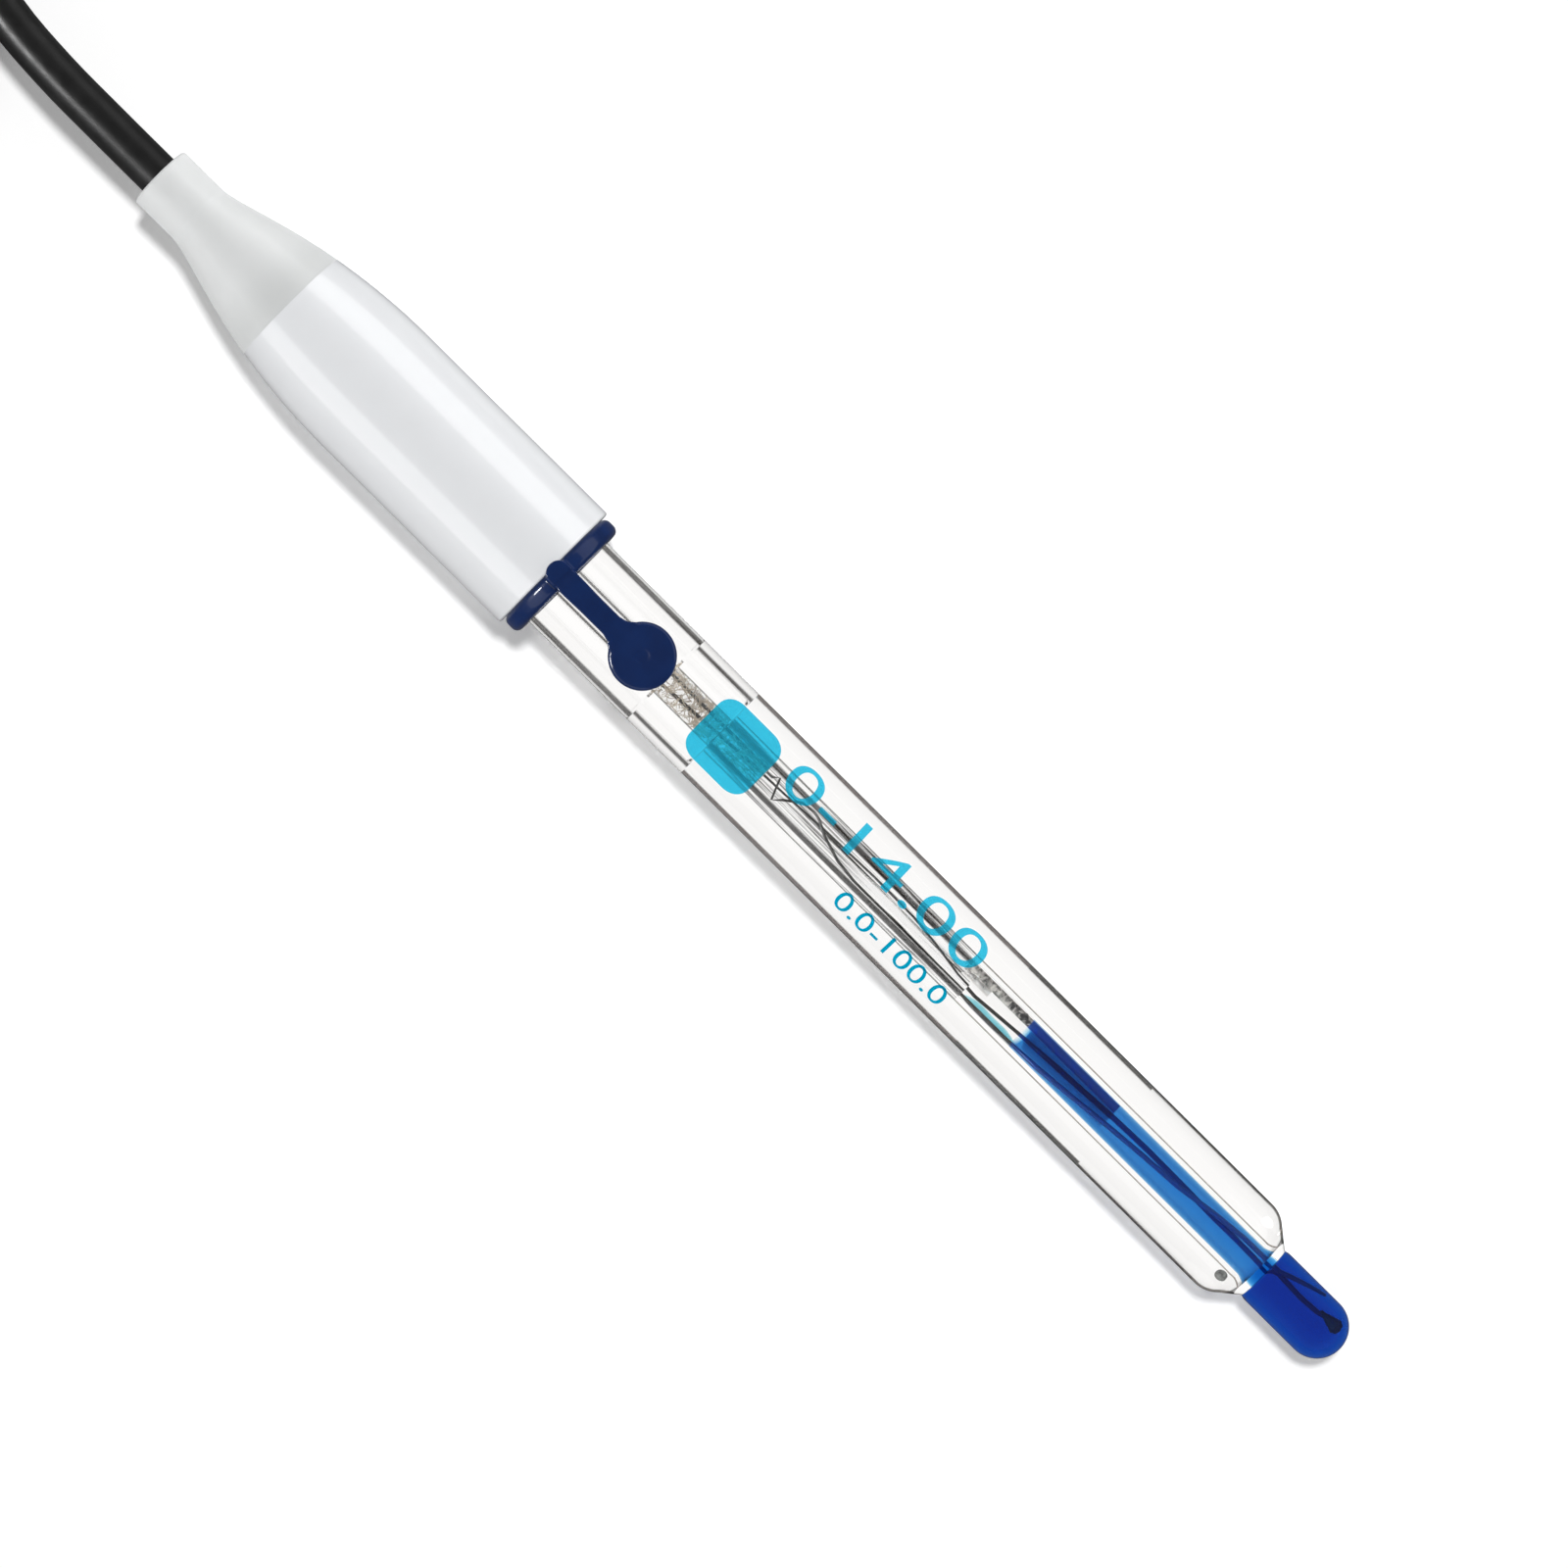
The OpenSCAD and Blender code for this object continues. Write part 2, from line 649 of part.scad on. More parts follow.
module strap_plan() {
    reach = refill_at - root_x;
    half = [for (p = strap_waist_shares) [root_x + p[0] * reach, p[1] * strap_w]];
    polygon(concat(half, [[refill_at, head_r * 0.6], [refill_at, -head_r * 0.6]],
        reversed([for (p = half) [p[0], -p[1]]])));
}

module stopper_head() {
    top = head_low + head_t;
    translate([refill_at, 0, 0]) rotate_extrude() polygon(concat([[0, head_low - peg_l],
        [peg_tip_r * 0.6, head_low - peg_l], [peg_tip_r, head_low - peg_l * 0.8], [peg_top_r, head_low]],
        arc(head_r - head_edge_r, head_low + head_edge_r, head_edge_r, -90, 0, 5),
        arc(head_r - head_edge_r, top - head_edge_r, head_edge_r, 0, 90, 5),
        [[dimple_r, top], [dimple_r * 0.7, top - dimple_depth], [0, top - dimple_depth]]));
}

module refill_stopper() {
    color([0.09, 0.16, 0.42]) lay_down() {
        translate([root_x, strap_w * 0.48, root_z]) rotate([90, 0, 0]) cylinder(r = root_r, h = strap_w * 0.96);
        intersection() {
            rotate([90, 0, 0]) translate([0, 0, -head_r]) linear_extrude(2 * head_r) polygon(strap_side());
            translate([0, 0, head_low]) linear_extrude(2 * head_r) strap_plan();
        }
        stopper_head();
    }
}

// Cable
module cable_tail() {
    color([0.1, 0.1, 0.11]) lay_down() bar(cable_r, -boot_end_at, -jacket_end_at);
}

module cable_lead() {
    color([0.1, 0.1, 0.11]) swept(lead_route, cable_r, cable_sides);
}

module plug_lead() {
    color([0.1, 0.1, 0.11]) swept(plug_route, cable_r, cable_sides);
}

// An outline with two long runs and round ends, at a distance r from the hank's middle line
module hank_outline(r) {
    far_x = hank_near_x - hank_run;
    polygon(concat(arc(hank_near_x, hank_y, r, -90, 90, 24), arc(far_x, hank_y, r, 90, 270, 24)));
}

module cable_hank() {
    color([0.12, 0.12, 0.13]) translate([0, 0, tie_t]) linear_extrude(2 * cable_d) difference() {
        hank_outline(hank_out_r);
        hank_outline(hank_in_r);
    }
}

// One tie round the two by two bundle of a run
module tie(x, side) {
    middle = hank_y + side * (hank_out_r + hank_in_r) / 2;
    inner = 2 * cable_d + 2 * tie_gap;
    outer = inner + 2 * tie_t;
    translate([x - tie_w / 2, middle - outer / 2, 0]) difference() {
        cube([tie_w, outer, outer - 2 * tie_gap]);
        translate([-overrun, tie_t, tie_t]) cube([tie_w + 2 * overrun, inner, inner - 2 * tie_gap]);
    }
}

module hank_tie() {
    color([0.2, 0.2, 0.22]) {
        tie(hank_near_x - tie_x_shares[0] * hank_run, 1);
        tie(hank_near_x - tie_x_shares[1] * hank_run, -1);
    }
}

// Connector, with its mouth at the origin and its body behind it
module at_plug() {
    translate([plug_x, plug_y, nut_r]) children();
}

function slot_ring(i) =
    let (a = slot_turn * i / slot_steps, x = -slot_start - slot_pitch * i / slot_steps)
    [for (p = [[-1, nut_bore_r - overrun], [1, nut_bore_r - overrun], [1, nut_r + overrun],
        [-1, nut_r + overrun]]) [x + p[0] * slot_w / 2, p[1] * sin(a), p[1] * cos(a)]];

// One sloping slot that ends in the round seat of the bayonet pin
module bayonet_slot() {
    points = [for (i = [0:slot_steps]) each slot_ring(i)];
    walls = [for (i = [0:slot_steps - 1], k = [0:3])
        let (a = i * 4 + k, b = i * 4 + (k + 1) % 4) each [[a, b, b + 4], [a, b + 4, a + 4]]];
    polyhedron(points, concat(walls, [[3, 2, 1, 0]], [[for (k = [0:3]) slot_steps * 4 + k]]), convexity = 6);
    rotate([-slot_turn * (1 + 1 / slot_steps), 0, 0]) upright(detent_r,
        -slot_start - slot_pitch - slot_w / 3, nut_bore_r - overrun, nut_r + overrun);
    translate([-slot_start - slot_w / 2, -slot_w / 2, 0]) cube([slot_start + slot_w, slot_w, slot_floor_r]);
}

module coupling_nut() {
    color([0.78, 0.79, 0.8]) at_plug() difference() {
        turned([[nut_bore_r, 0], [nut_r - edge_cut, 0], [nut_r, -edge_cut], [nut_r, -nut_band_at],
            [nut_r, -nut_band_at - nut_band_l], [nut_land_r, -nut_band_at - nut_band_l - edge_cut],
            [nut_land_r, -nut_l + edge_cut], [nut_land_r - edge_cut, -nut_l], [plug_neck_r + swing_gap, -nut_l],
            [plug_neck_r + swing_gap, -nut_l + nut_floor_t], [nut_bore_r, -nut_l + nut_floor_t]]);
        for (k = [0:nut_flutes - 1]) rotate([360 * (k + 0.5) / nut_flutes, 0, 0])
            translate([-nut_band_at - nut_band_l - edge_cut, 0, nut_r + nut_flute_r / 3]) rotate([0, 90, 0])
                cylinder(r = nut_flute_r, h = nut_band_l + edge_cut, $fn = 24);
        bayonet_slot();
        rotate([180, 0, 0]) bayonet_slot();
    }
}

module plug_body() {
    back = nut_l + swing_gap;
    color([0.8, 0.8, 0.82]) at_plug() difference() {
        turned([[sleeve_r - sleeve_wall, -sleeve_set_back], [sleeve_r, -sleeve_set_back],
            [sleeve_r, -plug_floor_at], [plug_neck_r, -plug_floor_at], [plug_neck_r, -back],
            [collar_r - edge_cut, -back], [collar_r, -back - edge_cut],
            [collar_r, -back - collar_l], [cable_r + push_gap, -back - collar_l],
            [cable_r + push_gap, -back], [insulator_r, -back], [insulator_r, -plug_floor_at],
            [sleeve_r - sleeve_wall, -plug_floor_at]]);
        for (turn = [0, 90]) rotate([turn, 0, 0])
            translate([-sleeve_set_back - sleeve_slit_l, -sleeve_r - overrun, -sleeve_slit_w / 2])
                cube([sleeve_slit_l + overrun, 2 * (sleeve_r + overrun), sleeve_slit_w]);
        for (side = [0, 1]) mirror([0, 0, side])
            translate([-back - collar_l, -collar_r, collar_flats / 2])
                cube([collar_l * 0.75, 2 * collar_r, collar_r]);
    }
}

module plug_insulator() {
    color([0.95, 0.95, 0.93]) at_plug() difference() {
        bar(insulator_r, -nut_l - swing_gap, -insulator_set_back);
        bar(pin_d / 2, -nut_l - swing_gap - overrun, 0);
    }
}

module plug_pin() {
    tip = pin_d / 4;
    color([0.85, 0.68, 0.3]) at_plug() turned([[0, -nut_l - pin_root_l], [pin_d / 2, -nut_l - pin_root_l],
        [pin_d / 2, -pin_set_back - tip], [pin_d / 4, -pin_set_back], [0, -pin_set_back]]);
}

module plug_gasket() {
    thick = plug_floor_at - nut_l / 2;
    color([0.75, 0.3, 0.22]) at_plug() turned([[sleeve_r, -plug_floor_at],
        [nut_bore_r - swing_gap, -plug_floor_at], [nut_bore_r - swing_gap, -plug_floor_at + thick / 2],
        [sleeve_r, -plug_floor_at + thick / 2]]);
}

module retaining_ring() {
    color([0.6, 0.6, 0.62]) at_plug() turned([[plug_neck_r, -plug_floor_at - snap_ring_t],
        [nut_bore_r - swing_gap, -plug_floor_at - snap_ring_t], [nut_bore_r - swing_gap, -plug_floor_at],
        [plug_neck_r, -plug_floor_at]]);
}

module wave_washer() {
    front = plug_floor_at + snap_ring_t;
    color([0.7, 0.7, 0.72]) at_plug() turned([[plug_neck_r, -front - washer_t],
        [nut_bore_r - swing_gap, -front - washer_t], [nut_bore_r - swing_gap, -front], [plug_neck_r, -front]]);
}

module crimp_ferrule() {
    start = nut_l + swing_gap + collar_l;
    color([0.76, 0.77, 0.78]) at_plug() difference() {
        intersection() {
            bar(ferrule_d / 2, -start - ferrule_l, -start);
            union() {
                translate([-start - crimp_l, 0, 0]) rotate([0, 90, 0])
                    cylinder(d = crimp_flats / cos(30), h = crimp_l - overrun, $fn = 6);
                bar(ferrule_d / 2, -start - overrun, -start);
                bar(ferrule_d / 2, -start - ferrule_l, -start - crimp_l);
            }
        }
        bar(ferrule_bore_r, -start - ferrule_l - overrun, -start + overrun);
    }
}

module plug_boot() {
    start = nut_l + swing_gap + collar_l + ferrule_l - boot_seat_l / 2;
    seat_end = start + boot_seat_l / 2 + swing_gap;
    color([0.12, 0.12, 0.13]) at_plug() turned([[ferrule_d / 2, -start], [plug_boot_r, -start],
        [plug_boot_r, -start - boot_seat_l], [plug_boot_end_r, -start - plug_boot_l + edge_cut],
        [plug_boot_end_r - edge_cut, -start - plug_boot_l], [ferrule_bore_r, -start - plug_boot_l],
        [ferrule_bore_r, -seat_end], [ferrule_d / 2, -seat_end]]);
}

outer_tube();
inner_stem();
sensing_bulb();
ceramic_frit();
buffer_gel();
electrolyte();
element_wire();
bead_wire();
element_bead();
chloride_rod();
wadding_plug();
reference_wire();
tube_bush();
stem_seal();
potting_plug();
solder_joint();
core_wire();
core_insulation();
braid_tail();
cable_clamp();
cap_body();
cable_boot();
stopper_ring();
refill_stopper();
cable_tail();
cable_lead();
cable_hank();
hank_tie();
plug_lead();
plug_boot();
crimp_ferrule();
plug_body();
plug_insulator();
plug_pin();
plug_gasket();
retaining_ring();
wave_washer();
coupling_nut();
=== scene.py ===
"""Dresses a refillable glass pH electrode with its coiled cable, and sets its studio and camera."""

from __future__ import annotations

import logging
import math
from dataclasses import dataclass, field
from enum import Enum

import bmesh
import bpy
import numpy as np
from mathutils import Matrix, Vector

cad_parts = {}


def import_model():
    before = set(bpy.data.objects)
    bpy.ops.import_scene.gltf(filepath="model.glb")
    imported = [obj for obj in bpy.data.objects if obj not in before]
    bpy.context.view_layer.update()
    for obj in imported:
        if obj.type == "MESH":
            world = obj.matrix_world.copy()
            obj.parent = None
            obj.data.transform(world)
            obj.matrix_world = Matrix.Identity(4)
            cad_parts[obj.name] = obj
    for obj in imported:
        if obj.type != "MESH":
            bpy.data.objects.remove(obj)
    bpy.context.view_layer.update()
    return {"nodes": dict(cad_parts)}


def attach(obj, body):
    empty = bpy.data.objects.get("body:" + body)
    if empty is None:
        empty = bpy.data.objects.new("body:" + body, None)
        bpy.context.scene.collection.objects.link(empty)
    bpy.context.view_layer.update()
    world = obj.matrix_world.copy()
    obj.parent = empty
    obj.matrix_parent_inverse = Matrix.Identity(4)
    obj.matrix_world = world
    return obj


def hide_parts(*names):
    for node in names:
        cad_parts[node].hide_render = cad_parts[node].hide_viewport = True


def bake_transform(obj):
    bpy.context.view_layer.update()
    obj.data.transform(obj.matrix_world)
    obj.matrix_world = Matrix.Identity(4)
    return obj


LOG = logging.getLogger("electrode")
MM = 0.001
TINY = 1e-6

Point = tuple[float, float, float]
Colour = tuple[float, float, float]
Span = tuple[float, float]
Outline = list[Span]

Socket = bpy.types.NodeSocket
Finish = bpy.types.Material
Piece = bpy.types.Object


class Body(Enum):
    """The rigid bodies that the pieces ride on."""

    ELECTRODE = "electrode"
    STOPPER = "stopper"
    NUT = "nut"


class Grain(Enum):
    """The directions in which a metal is machined."""

    ROUND = "round"
    NONE = "none"


@dataclass(frozen=True)
class ShaftAxis:
    """The electrode's own axis: places count in millimetres from the cap's face towards the bulb."""

    cap_r: float = 8.25
    rim_r: float = 0.3
    shaft_r: float = 6.0
    shoulder_r: float = 3.5
    shoulder_angle: float = 39.0
    neck_r: float = 3.4
    shaft_l: float = 120.0
    bulb_r: float = 3.5
    bulb_l: float = 11.8
    boot_end_at: float = 60.0
    boot_end_r: float = 3.75
    boot_edge_r: float = 0.4

    @property
    def neck_at(self) -> float:
        """The place of the neck along the axis."""
        return self.shaft_l - self.bulb_l

    @property
    def shoulder_at(self) -> float:
        """The place where the shaft begins to turn in."""
        a = math.radians(self.shoulder_angle)
        drop = self.shoulder_r * (1 - math.cos(a))
        cone = (self.shaft_r - self.neck_r - drop) / math.tan(a)
        return self.neck_at - cone - self.shoulder_r * math.sin(a)

    @property
    def lean(self) -> float:
        """The angle by which the axis dips towards the bulb, in radians."""
        dx = self.shoulder_at + self.rim_r
        dz = (self.cap_r - self.rim_r) - (self.shaft_r - self.shoulder_r)
        return math.atan2(dz, dx) - math.asin((self.shoulder_r - self.rim_r) / math.hypot(dx, dz))

    @property
    def face_h(self) -> float:
        """The height of the axis at the cap's face."""
        return self.rim_r * (1 - math.sin(self.lean)) + (self.cap_r - self.rim_r) * math.cos(self.lean)

    @property
    def face_x(self) -> float:
        """The place of the cap's face along the floor."""
        c, s = math.cos(self.lean), math.sin(self.lean)
        edge = self.boot_edge_r
        rear = (edge - self.boot_end_at) * c - (self.boot_end_r - edge) * s - edge
        tip = (self.shaft_l - self.bulb_r) * c + self.bulb_r
        return -(rear + tip) / 2

    def matrix(self) -> Matrix:
        """Returns the matrix that takes axis millimetres to the row's metres."""
        place = Matrix.Translation((self.face_x * MM, 0, self.face_h * MM))
        return place @ Matrix.Rotation(self.lean, 4, "Y") @ Matrix.Scale(MM, 4)

    def point(self, s: float, y: float = 0.0, z: float = 0.0) -> Vector:
        """Returns the place of an axis point in the row's frame, in metres."""
        return self.matrix() @ Vector((s, y, z))


AXIS = ShaftAxis()


def arc(cx: float, cy: float, r: float, start: float, end: float, steps: int = 16) -> Outline:
    """Works out the points of a round stretch.

    Args:
        cx: The centre's first coordinate.
        cy: The centre's second coordinate.
        r: The radius.
        start: The first angle, in degrees.
        end: The last angle, in degrees.
        steps: How many pieces the stretch has.

    Returns:
        The points in order.
    """
    angles = [math.radians(start + (end - start) * i / steps) for i in range(steps + 1)]
    return [(cx + r * math.cos(a), cy + r * math.sin(a)) for a in angles]


def cubic(p0: Span, p1: Span, p2: Span, p3: Span, steps: int = 16) -> Outline:
    """Works out the points of a cubic curve.

    Args:
        p0: The first point.
        p1: The point that the curve first heads for.
        p2: The point that the curve comes from at its end.
        p3: The last point.
        steps: How many pieces the curve has.

    Returns:
        The points in order.
    """
    out = []
    for i in range(steps + 1):
        t = i / steps
        k = ((1 - t) ** 3, 3 * t * (1 - t) ** 2, 3 * t * t * (1 - t), t**3)
        out.append(tuple(sum(w * p[a] for w, p in zip(k, (p0, p1, p2, p3))) for a in (0, 1)))
    return out


def smooth_path(points: list[Vector], spacing: float) -> list[Vector]:
    """Runs a smooth line through given points.

    Args:
        points: The places that the line passes, in order.
        spacing: The largest distance between two points of the result.

    Returns:
        The line's points.
    """
    out = [points[0].copy()]
    for i in range(len(points) - 1):
        p1, p2 = points[i], points[i + 1]
        p0 = points[i - 1] if i else p1 + (p1 - p2)
        p3 = points[i + 2] if i + 2 < len(points) else p2 + (p2 - p1)
        span = (p2 - p1).length
        m1 = (p2 - p0).normalized() * span
        m2 = (p3 - p1).normalized() * span
        steps = max(1, math.ceil(span / spacing))
        for k in range(1, steps + 1):
            t = k / steps
            h = (2 * t**3 - 3 * t * t + 1, t**3 - 2 * t * t + t, -2 * t**3 + 3 * t * t, t**3 - t * t)
            out.append(h[0] * p1 + h[1] * m1 + h[2] * p2 + h[3] * m2)
    return out


def new_object(name: str, mesh: bpy.types.Mesh) -> Piece:
    """Links a mesh to the scene as an object.

    Args:
        name: The object's name.
        mesh: Its mesh.

    Returns:
        The object.
    """
    obj = bpy.data.objects.new(name, mesh)
    bpy.context.collection.objects.link(obj)
    return obj


def smooth(mesh: bpy.types.Mesh, angle: float = 32.0) -> None:
    """Shades a mesh smooth, apart from its edges sharper than the angle in degrees."""
    mesh.polygons.foreach_set("use_smooth", [True] * len(mesh.polygons))
    mesh.set_sharp_from_angle(angle=math.radians(angle))


def baked(obj: Piece) -> Piece:
    """Makes an object's modifiers final, so that it is a plain mesh.

    Args:
        obj: The object with its modifiers.

    Returns:
        The same object.
    """
    bpy.context.view_layer.update()
    done = bpy.data.meshes.new_from_object(obj.evaluated_get(bpy.context.evaluated_depsgraph_get()))
    obj.modifiers.clear()
    obj.data = done
    return obj


def lathe(name: str, line: Outline, sides: int = 160) -> Piece:
    """Turns an outline round the electrode's axis.

    Args:
        name: The piece's name.
        line: Points [place along the axis, radius], in millimetres, with the outside on their left.
        sides: How many facets go round.

    Returns:
        The turned piece, in the row's frame.
    """
    bm = bmesh.new()
    rings = []
    for s, r in line:
        if r < TINY:
            rings.append([bm.verts.new((s, 0, 0))])
        else:
            turns = [2 * math.pi * k / sides for k in range(sides)]
            rings.append([bm.verts.new((s, -r * math.sin(a), r * math.cos(a))) for a in turns])
    for a, b in zip(rings, rings[1:]):
        for k in range(sides):
            n = (k + 1) % sides
            if len(a) == 1:
                bm.faces.new((a[0], b[n], b[k]))
            elif len(b) == 1:
                bm.faces.new((a[k], a[n], b[0]))
            else:
                bm.faces.new((a[k], a[n], b[n], b[k]))
    mesh = bpy.data.meshes.new(name)
    bm.transform(AXIS.matrix())
    bm.to_mesh(mesh)
    bm.free()
    smooth(mesh)
    return new_object(name, mesh)


class Graph:
    """A node tree under construction."""

    prefix = "ShaderNode"

    def __init__(self, tree: bpy.types.NodeTree) -> None:
        """Starts on an empty tree."""
        self.tree = tree
        self.tree.nodes.clear()

    def node(self, kind: str, inputs: dict | None = None, **settings: object) -> bpy.types.Node:
        """Adds a node.

        Args:
            kind: The node's type name, without the tree's own prefix or in full.
            inputs: Values or sockets by input name or number.
            **settings: Attributes of the node.

        Returns:
            The new node.
        """
        made = self.tree.nodes.new(kind if "Node" in kind else self.prefix + kind)
        for key, value in settings.items():
            setattr(made, key, value)
        for key, value in (inputs or {}).items():
            if isinstance(value, Socket):
                self.tree.links.new(value, made.inputs[key])
            else:
                made.inputs[key].default_value = value
        return made


class Scatter(Graph):
    """A geometry node group that strews or bends many small pieces."""

    prefix = "GeometryNode"

    def __init__(self, name: str) -> None:
        """Starts an empty group with one geometry output.

        Args:
            name: The group's name.
        """
        super().__init__(bpy.data.node_groups.new(name, "GeometryNodeTree"))
        self.tree.interface.new_socket("Geometry", in_out="OUTPUT", socket_type="NodeSocketGeometry")
        self.given = self.tree.nodes.new("NodeGroupInput")
        self.output = self.tree.nodes.new("NodeGroupOutput")
        self.named: dict[str, str] = {}

    def value(self, name: str, kind: str) -> Socket:
        """Adds a named input.

        Args:
            name: The input's name.
            kind: Its kind, such as Float.

        Returns:
            Its socket.
        """
        added = self.tree.interface.new_socket(name, in_out="INPUT", socket_type="NodeSocket" + kind)
        self.named[name] = added.identifier
        return self.given.outputs[name]

    def chance(self, low: Point, high: Point, seed: Socket) -> Socket:
        """Adds a random vector.

        Args:
            low: The lowest vector.
            high: The highest vector.
            seed: The seed's socket.

        Returns:
            The vector's socket.
        """
        made = self.node("FunctionNodeRandomValue", data_type="FLOAT_VECTOR")
        made.inputs[0].default_value = low
        made.inputs[1].default_value = high
        self.tree.links.new(seed, made.inputs["Seed"])
        return made.outputs[0]

    def inside(self, geometry: Socket, radius: Socket, start: float, end: float) -> Socket:
        """Draws what sticks out of a round bore back into it.

        Args:
            geometry: The points to move, in axis millimetres.
            radius: The bore's free radius, as a socket.
            start: The bore's start along the axis.
            end: The bore's end along the axis.

        Returns:
            The moved geometry's socket.
        """
        place = self.node("ShaderNodeSeparateXYZ", {0: self.node("InputPosition").outputs[0]}).outputs
        across = self.node("ShaderNodeCombineXYZ", {1: place[1], 2: place[2]}).outputs[0]
        far = self.node("ShaderNodeVectorMath", {0: across}, operation="LENGTH").outputs["Value"]
        most = self.node("ShaderNodeMath", {0: radius, 1: far}, operation="DIVIDE").outputs[0]
        share = self.node("ShaderNodeMath", {0: most, 1: 1.0}, operation="MINIMUM").outputs[0]
        drawn = self.node(
            "ShaderNodeVectorMath", {0: across, "Scale": share}, operation="SCALE").outputs[0]
        along = self.node("ShaderNodeClamp", {0: place[0], 1: start, 2: end}).outputs[0]
        line = self.node("ShaderNodeCombineXYZ", {0: along}).outputs[0]
        both = self.node("ShaderNodeVectorMath", {0: drawn, 1: line}, operation="ADD").outputs[0]
        return self.node("SetPosition", {"Geometry": geometry, "Position": both}).outputs[0]

    def build(self, name: str, geometry: Socket, material: Finish, **values: float) -> Piece:
        """Dresses the result, gives the named inputs their values and bakes the piece.

        Args:
            name: The piece's name.
            geometry: The result's socket, in axis millimetres.
            material: The piece's finish.
            **values: The named inputs' values.

        Returns:
            The piece as a plain mesh.
        """
        painted = self.node("SetMaterial", {"Geometry": geometry, "Material": material})
        self.tree.links.new(painted.outputs[0], self.output.inputs[0])
        piece = new_object(name, bpy.data.meshes.new(name))
        modifier = piece.modifiers.new("scatter", "NODES")
        modifier.node_group = self.tree
        for key, value in values.items():
            modifier[self.named[key]] = value
        baked(piece)
        piece.data.transform(AXIS.matrix())
        smooth(piece.data, 180)
        return piece


class Shader(Graph):
    """A material's node tree under construction."""

    noise_reach: Span = (0.3, 0.7)

    def __init__(self, name: str) -> None:
        """Starts an empty material with an output.

        Args:
            name: The material's name.
        """
        self.material = bpy.data.materials.new(name)
        self.material.use_nodes = True
        super().__init__(self.material.node_tree)
        self.output = self.tree.nodes.new("ShaderNodeOutputMaterial")

    def place(self) -> Socket:
        """Returns the socket with the object's own coordinates, in metres."""
        return self.node("TexCoord").outputs["Object"]

    def noise(self, scale: float, detail: float = 3.0, stretch: Point = (1, 1, 1)) -> Socket:
        """Adds noise over the object's coordinates and returns its value socket."""
        mapped = self.node("Mapping", {"Vector": self.place(), "Scale": stretch}).outputs[0]
        return self.node("TexNoise", {"Vector": mapped, "Scale": scale, "Detail": detail}).outputs[0]

    def span(self, value: Socket, low: float, high: float) -> Socket:
        """Spreads the reach of a noise value over low to high and returns the result's socket."""
        least, most = self.noise_reach
        return self.node("MapRange", {0: value, 1: least, 2: most, 3: low, 4: high}).outputs[0]

    def blend(self, share: object, one: object, two: object) -> Socket:
        """Mixes two colours.

        Args:
            share: The second colour's share, as a socket or a number.
            one: The first colour, or its socket.
            two: The second colour, or its socket.

        Returns:
            The result's socket.
        """
        mix = self.node("Mix", data_type="RGBA")
        for socket, value in zip((mix.inputs[0], mix.inputs[6], mix.inputs[7]), (share, one, two)):
            if isinstance(value, Socket):
                self.tree.links.new(value, socket)
            elif isinstance(value, tuple):
                socket.default_value = (*value, 1)
            else:
                socket.default_value = value
        return mix.outputs[2]

    def bump(self, height: Socket, distance: float) -> Socket:
        """Turns a height into a bumped normal and returns its socket."""
        return self.node("Bump", {"Height": height, "Distance": distance, "Strength": 1.0}).outputs[0]

    def finish(self, surface: Socket, volume: Socket | None = None) -> Finish:
        """Connects the output.

        Args:
            surface: The surface's socket.
            volume: The inside's socket, for a dyed fill.

        Returns:
            The material.
        """
        self.tree.links.new(surface, self.output.inputs["Surface"])
        if volume is not None:
            self.tree.links.new(volume, self.output.inputs["Volume"])
        return self.material


